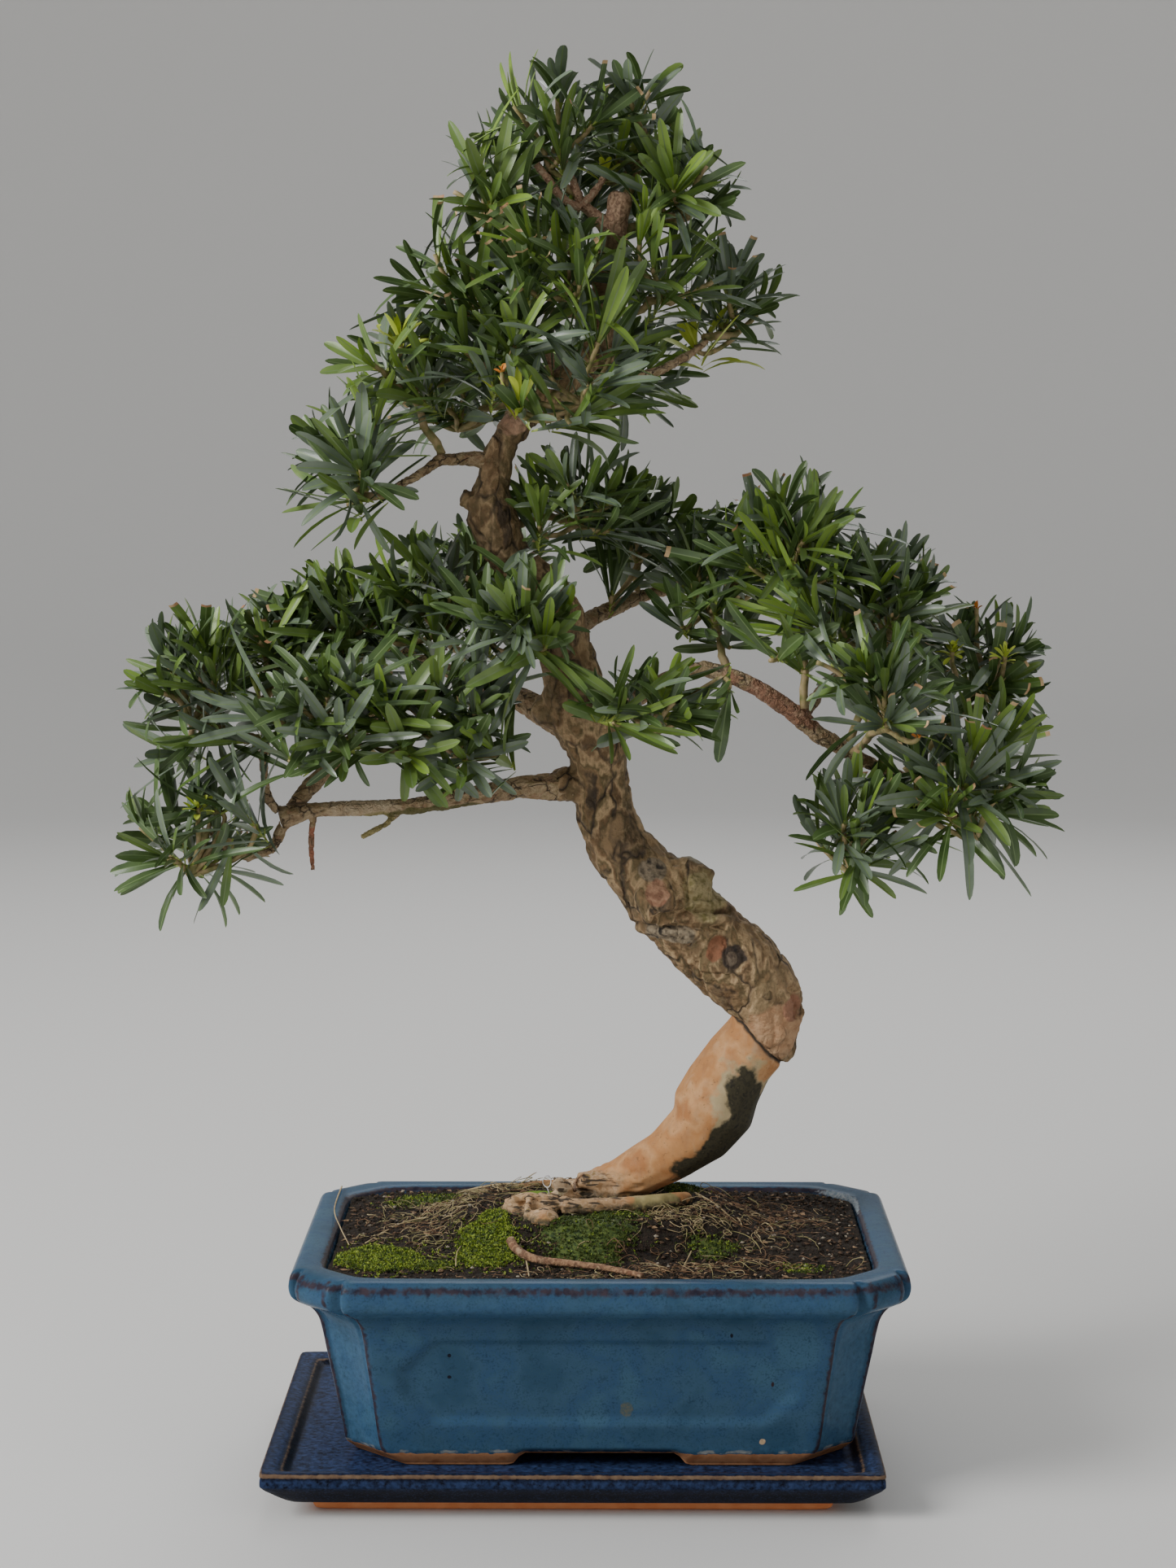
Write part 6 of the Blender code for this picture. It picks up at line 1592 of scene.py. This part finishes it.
print(len(faces), "faces of crumbs")


# %% Fine roots on the soil
def at_level(u, v, height):
    """The place at a height that the camera sees at a pixel of the photograph."""
    near, far = seen_at(u, v, -0.2), seen_at(u, v, 0.2)
    return near.lerp(far, (height - near.z) / (far.z - near.z))


def on_ground(u, v, height):
    """The place at a height, or on the soil where that is higher, that the camera sees at a pixel."""
    spot = at_level(u, v, height)
    for _ in range(4):
        spot = at_level(u, v, max(height, soil_height(spot.x, spot.y) + 0.0004))
    return spot


ROOT_PALE = finish_of("root_pale", [(0.30, 0.22, 0.11), (0.46, 0.36, 0.20), (0.36, 0.27, 0.13)], 200.0, 0.8)
ROOT_BROWN = finish_of("root_brown", [(0.11, 0.055, 0.026), (0.23, 0.125, 0.060), (0.16, 0.084, 0.040)], 200.0, 0.8)
ROOT_OLIVE = finish_of("root_olive", [(0.13, 0.12, 0.040), (0.30, 0.26, 0.105), (0.38, 0.32, 0.16)], 200.0, 0.8)
# Where the fine roots lie: middle, spread, and how many are pale, brown and olive
TANGLES = {
    "left": ((-0.052, 0.036), (0.026, 0.024), (60, 24, 40)),
    "behind_knob": ((-0.022, 0.046), (0.020, 0.013), (26, 14, 24)),
    "front_left": ((-0.066, -0.004), (0.022, 0.020), (26, 22, 36)),
    "beside_root": ((0.046, -0.002), (0.022, 0.018), (56, 20, 34)),
    "right": ((0.083, 0.022), (0.024, 0.036), (16, 95, 14)),
    "front_right": ((0.070, -0.046), (0.034, 0.016), (18, 52, 16)),
    "front": ((0.020, -0.058), (0.036, 0.010), (18, 45, 15)),
    "everywhere": ((0.011, 0.010), (0.080, 0.060), (30, 60, 40)),
}
FINE_ROOT = (0.00010, 0.00024)
rng = random.Random(41)
roots = [Twigs("fine_roots_pale"), Twigs("fine_roots_brown"), Twigs("fine_roots_olive")]
for middle, spread, counts in TANGLES.values():
    for kind, count in zip(roots, counts):
        for _ in range(count):
            x, y = middle[0] + rng.gauss(0, spread[0] * 0.6), middle[1] + rng.gauss(0, spread[1] * 0.6)
            heading, curl = rng.uniform(0, 2 * math.pi), rng.uniform(-0.95, 0.95)
            length, radius = rng.uniform(0.006, 0.024), rng.uniform(*FINE_ROOT)
            arch = rng.choice((0.0, 0.0005, 0.0010, 0.0022)) * rng.random() * 2
            path = []
            for step in range(9):
                if not on_soil(x, y):
                    break
                path.append(Vector((x, y, soil_height(x, y) + 0.0004 + arch * math.sin(math.pi * step / 8))))
                heading += curl + rng.uniform(-0.55, 0.55)
                x += math.cos(heading) * length / 8
                y += math.sin(heading) * length / 8
            if len(path) > 4:
                kind.add(path, radius, radius * 0.5, 4)
# Stray roots that stand out: pixels of the photograph along each, its height above the soil's level at
# each, and its thickness at both ends
STRAYS = {
    "over_left_rim": (((420, 1458, 0.0040), (411, 1486, 0.0042), (418, 1508, 0.0040), (429, 1530, 0.0010)), 0.00036, 0.00024),
    "long_arch": (((449, 1528, 0.0008), (490, 1505, 0.0040), (528, 1496, 0.0055), (568, 1496, 0.0055),
                   (604, 1513, 0.0020)), 0.00042, 0.00030),
    "to_knob": (((514, 1498, 0.0006), (534, 1481, 0.0020), (568, 1465, 0.0040), (608, 1456, 0.0080),
                 (636, 1455, 0.0115)), 0.00042, 0.00054),
    "beside_arch": (((503, 1536, 0.0006), (522, 1524, 0.0015), (523, 1511, 0.0015)), 0.00030, 0.00024),
    "in_moss": (((560, 1556, 0.0024), (562, 1538, 0.0036), (574, 1523, 0.0034)), 0.00024, 0.00018),
    "right_fork": (((852, 1461, 0.0120), (880, 1470, 0.0085), (906, 1484, 0.0045), (918, 1488, 0.0020)), 0.00060, 0.00036),
    "right_fork_low": (((850, 1464, 0.0115), (876, 1478, 0.0070), (896, 1494, 0.0030), (910, 1505, 0.0010)), 0.00054, 0.00030),
    "right_pale": (((820, 1518, 0.0016), (846, 1522, 0.0030), (872, 1528, 0.0024)), 0.00036, 0.00024),
    "right_down": (((854, 1528, 0.0016), (846, 1545, 0.0018), (838, 1560, 0.0006)), 0.00042, 0.00024),
    "right_loop": (((941, 1528, 0.0006), (930, 1514, 0.0030), (940, 1503, 0.0050), (950, 1512, 0.0030),
                    (944, 1522, 0.0010)), 0.00036, 0.00024),
    "right_twig": (((887, 1507, 0.0010), (906, 1497, 0.0024), (914, 1516, 0.0008)), 0.00036, 0.00030),
    "upright_left": (((646, 1545, 0.0010), (650, 1568, 0.0030)), 0.00042, 0.00030),
}
for stops, start_radius, end_radius in STRAYS.values():
    places = [on_ground(u, v, SOIL_LEVEL + above_level) for u, v, above_level in stops]
    path = [Vector(station) for station in smooth_path(places, 0.0012)]
    roots[0].add(path, start_radius, end_radius, 6)
for kind, finish in zip(roots, (ROOT_PALE, ROOT_BROWN, ROOT_OLIVE)):
    piece = piece_of(kind.name, kind.points, kind.faces, [finish])
    print(kind.name, len(kind.faces), "faces")

# %% A fallen leaf and a dead stalk
LEAF_FOOT, LEAF_TIP = [Vector((x, y, soil_height(x, y) + 0.0022)) for x, y in ((-0.0080, 0.0300), (-0.0250, 0.0260))]
fallen_leaf = Foliage("fallen_leaf")
fallen_leaf.add_leaf(leaf_rows(LEAF_FOOT, (LEAF_TIP - LEAF_FOOT).normalized(), Vector((0.0, -0.5, 0.8)).normalized(),
                               (LEAF_TIP - LEAF_FOOT).length, 0.0030, 0.1, False), YOUNG, False)
fallen_leaf.finish()

# Pixels along the stalk. It lies on the wood that the camera sees there
STALK = ((705, 1463), (709, 1453), (716, 1444), (726, 1436), (737, 1431))
STALK_LIFT = 0.0006
eye = Vector(CAMERA_PLACE)
path = []
for u, v in STALK:
    spot, normal, _, _ = limb_tree.ray_cast(eye, (seen_at(u, v, 0.0) - eye).normalized())
    if spot is not None:
        path.append(spot + normal * STALK_LIFT)
if len(path) > 2:
    stalk = Twigs("dead_stalk")
    stalk.add([Vector(station) for station in smooth_path(path, 0.0008, 3)], 0.0009, 0.0004, 6)
    stalk_finish = finish_of("dead_stalk", [(0.10, 0.048, 0.024), (0.20, 0.11, 0.055), (0.30, 0.18, 0.10)], 300.0, 0.7)
    piece = piece_of(stalk.name, stalk.points, stalk.faces, [stalk_finish])
print(len(path), "places of the stalk lie on wood")

# %% A fallen twig and a twist of wire
FALLEN = ((-0.0270, -0.0290, 0.0046), (-0.0240, -0.0350, 0.0042), (-0.0160, -0.0440, 0.0030), (-0.0015, -0.0490, 0.0030),
          (0.0130, -0.0560, 0.0028), (0.0290, -0.0680, 0.0020))
FALLEN_RADII = (0.0020, 0.0011)
twig_finish = finish_of("fallen_twig", [(0.18, 0.082, 0.040), (0.35, 0.200, 0.105), (0.13, 0.060, 0.030), (0.43, 0.28, 0.16)], 160.0, 0.8,
                        bump=0.5, bump_scale=700.0)
twig = Twigs("fallen_twig_bark")
places = [Vector((x, y, soil_height(x, y) + lift)) for x, y, lift in FALLEN]
twig.add([Vector(station) for station in smooth_path(places, 0.0010)], *FALLEN_RADII, 10, knots=0.10)
piece = piece_of(twig.name, twig.points, twig.faces, [twig_finish])
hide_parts("fallen_twig")

WIRE_MIDDLE = seen_at(672, 1452, 0.010)
WIRE_HALF = (0.0018, 0.0026)
wire = Twigs("wire_twist")
turns = [2 * math.pi * k / 18 - math.pi / 2 for k in range(19)]
loop = [WIRE_MIDDLE + Vector((WIRE_HALF[0] * math.cos(a), 0.0008 * math.sin(2 * a), WIRE_HALF[1] * math.sin(a))) for a in turns]
wire.add(loop + [WIRE_MIDDLE + Vector((0.0008, 0.0, -0.0046)), WIRE_MIDDLE + Vector((0.0012, 0.001, -0.0075))],
         0.00022, 0.00022, 6, knots=0.0)
wire_finish = finish_of("wire", [(0.62, 0.63, 0.64), (0.75, 0.75, 0.74)], 300.0, 0.35)
piece = piece_of(wire.name, wire.points, wire.faces, [wire_finish])
print("wire loop", round(2 * WIRE_HALF[1] * 1000, 1), "mm high")
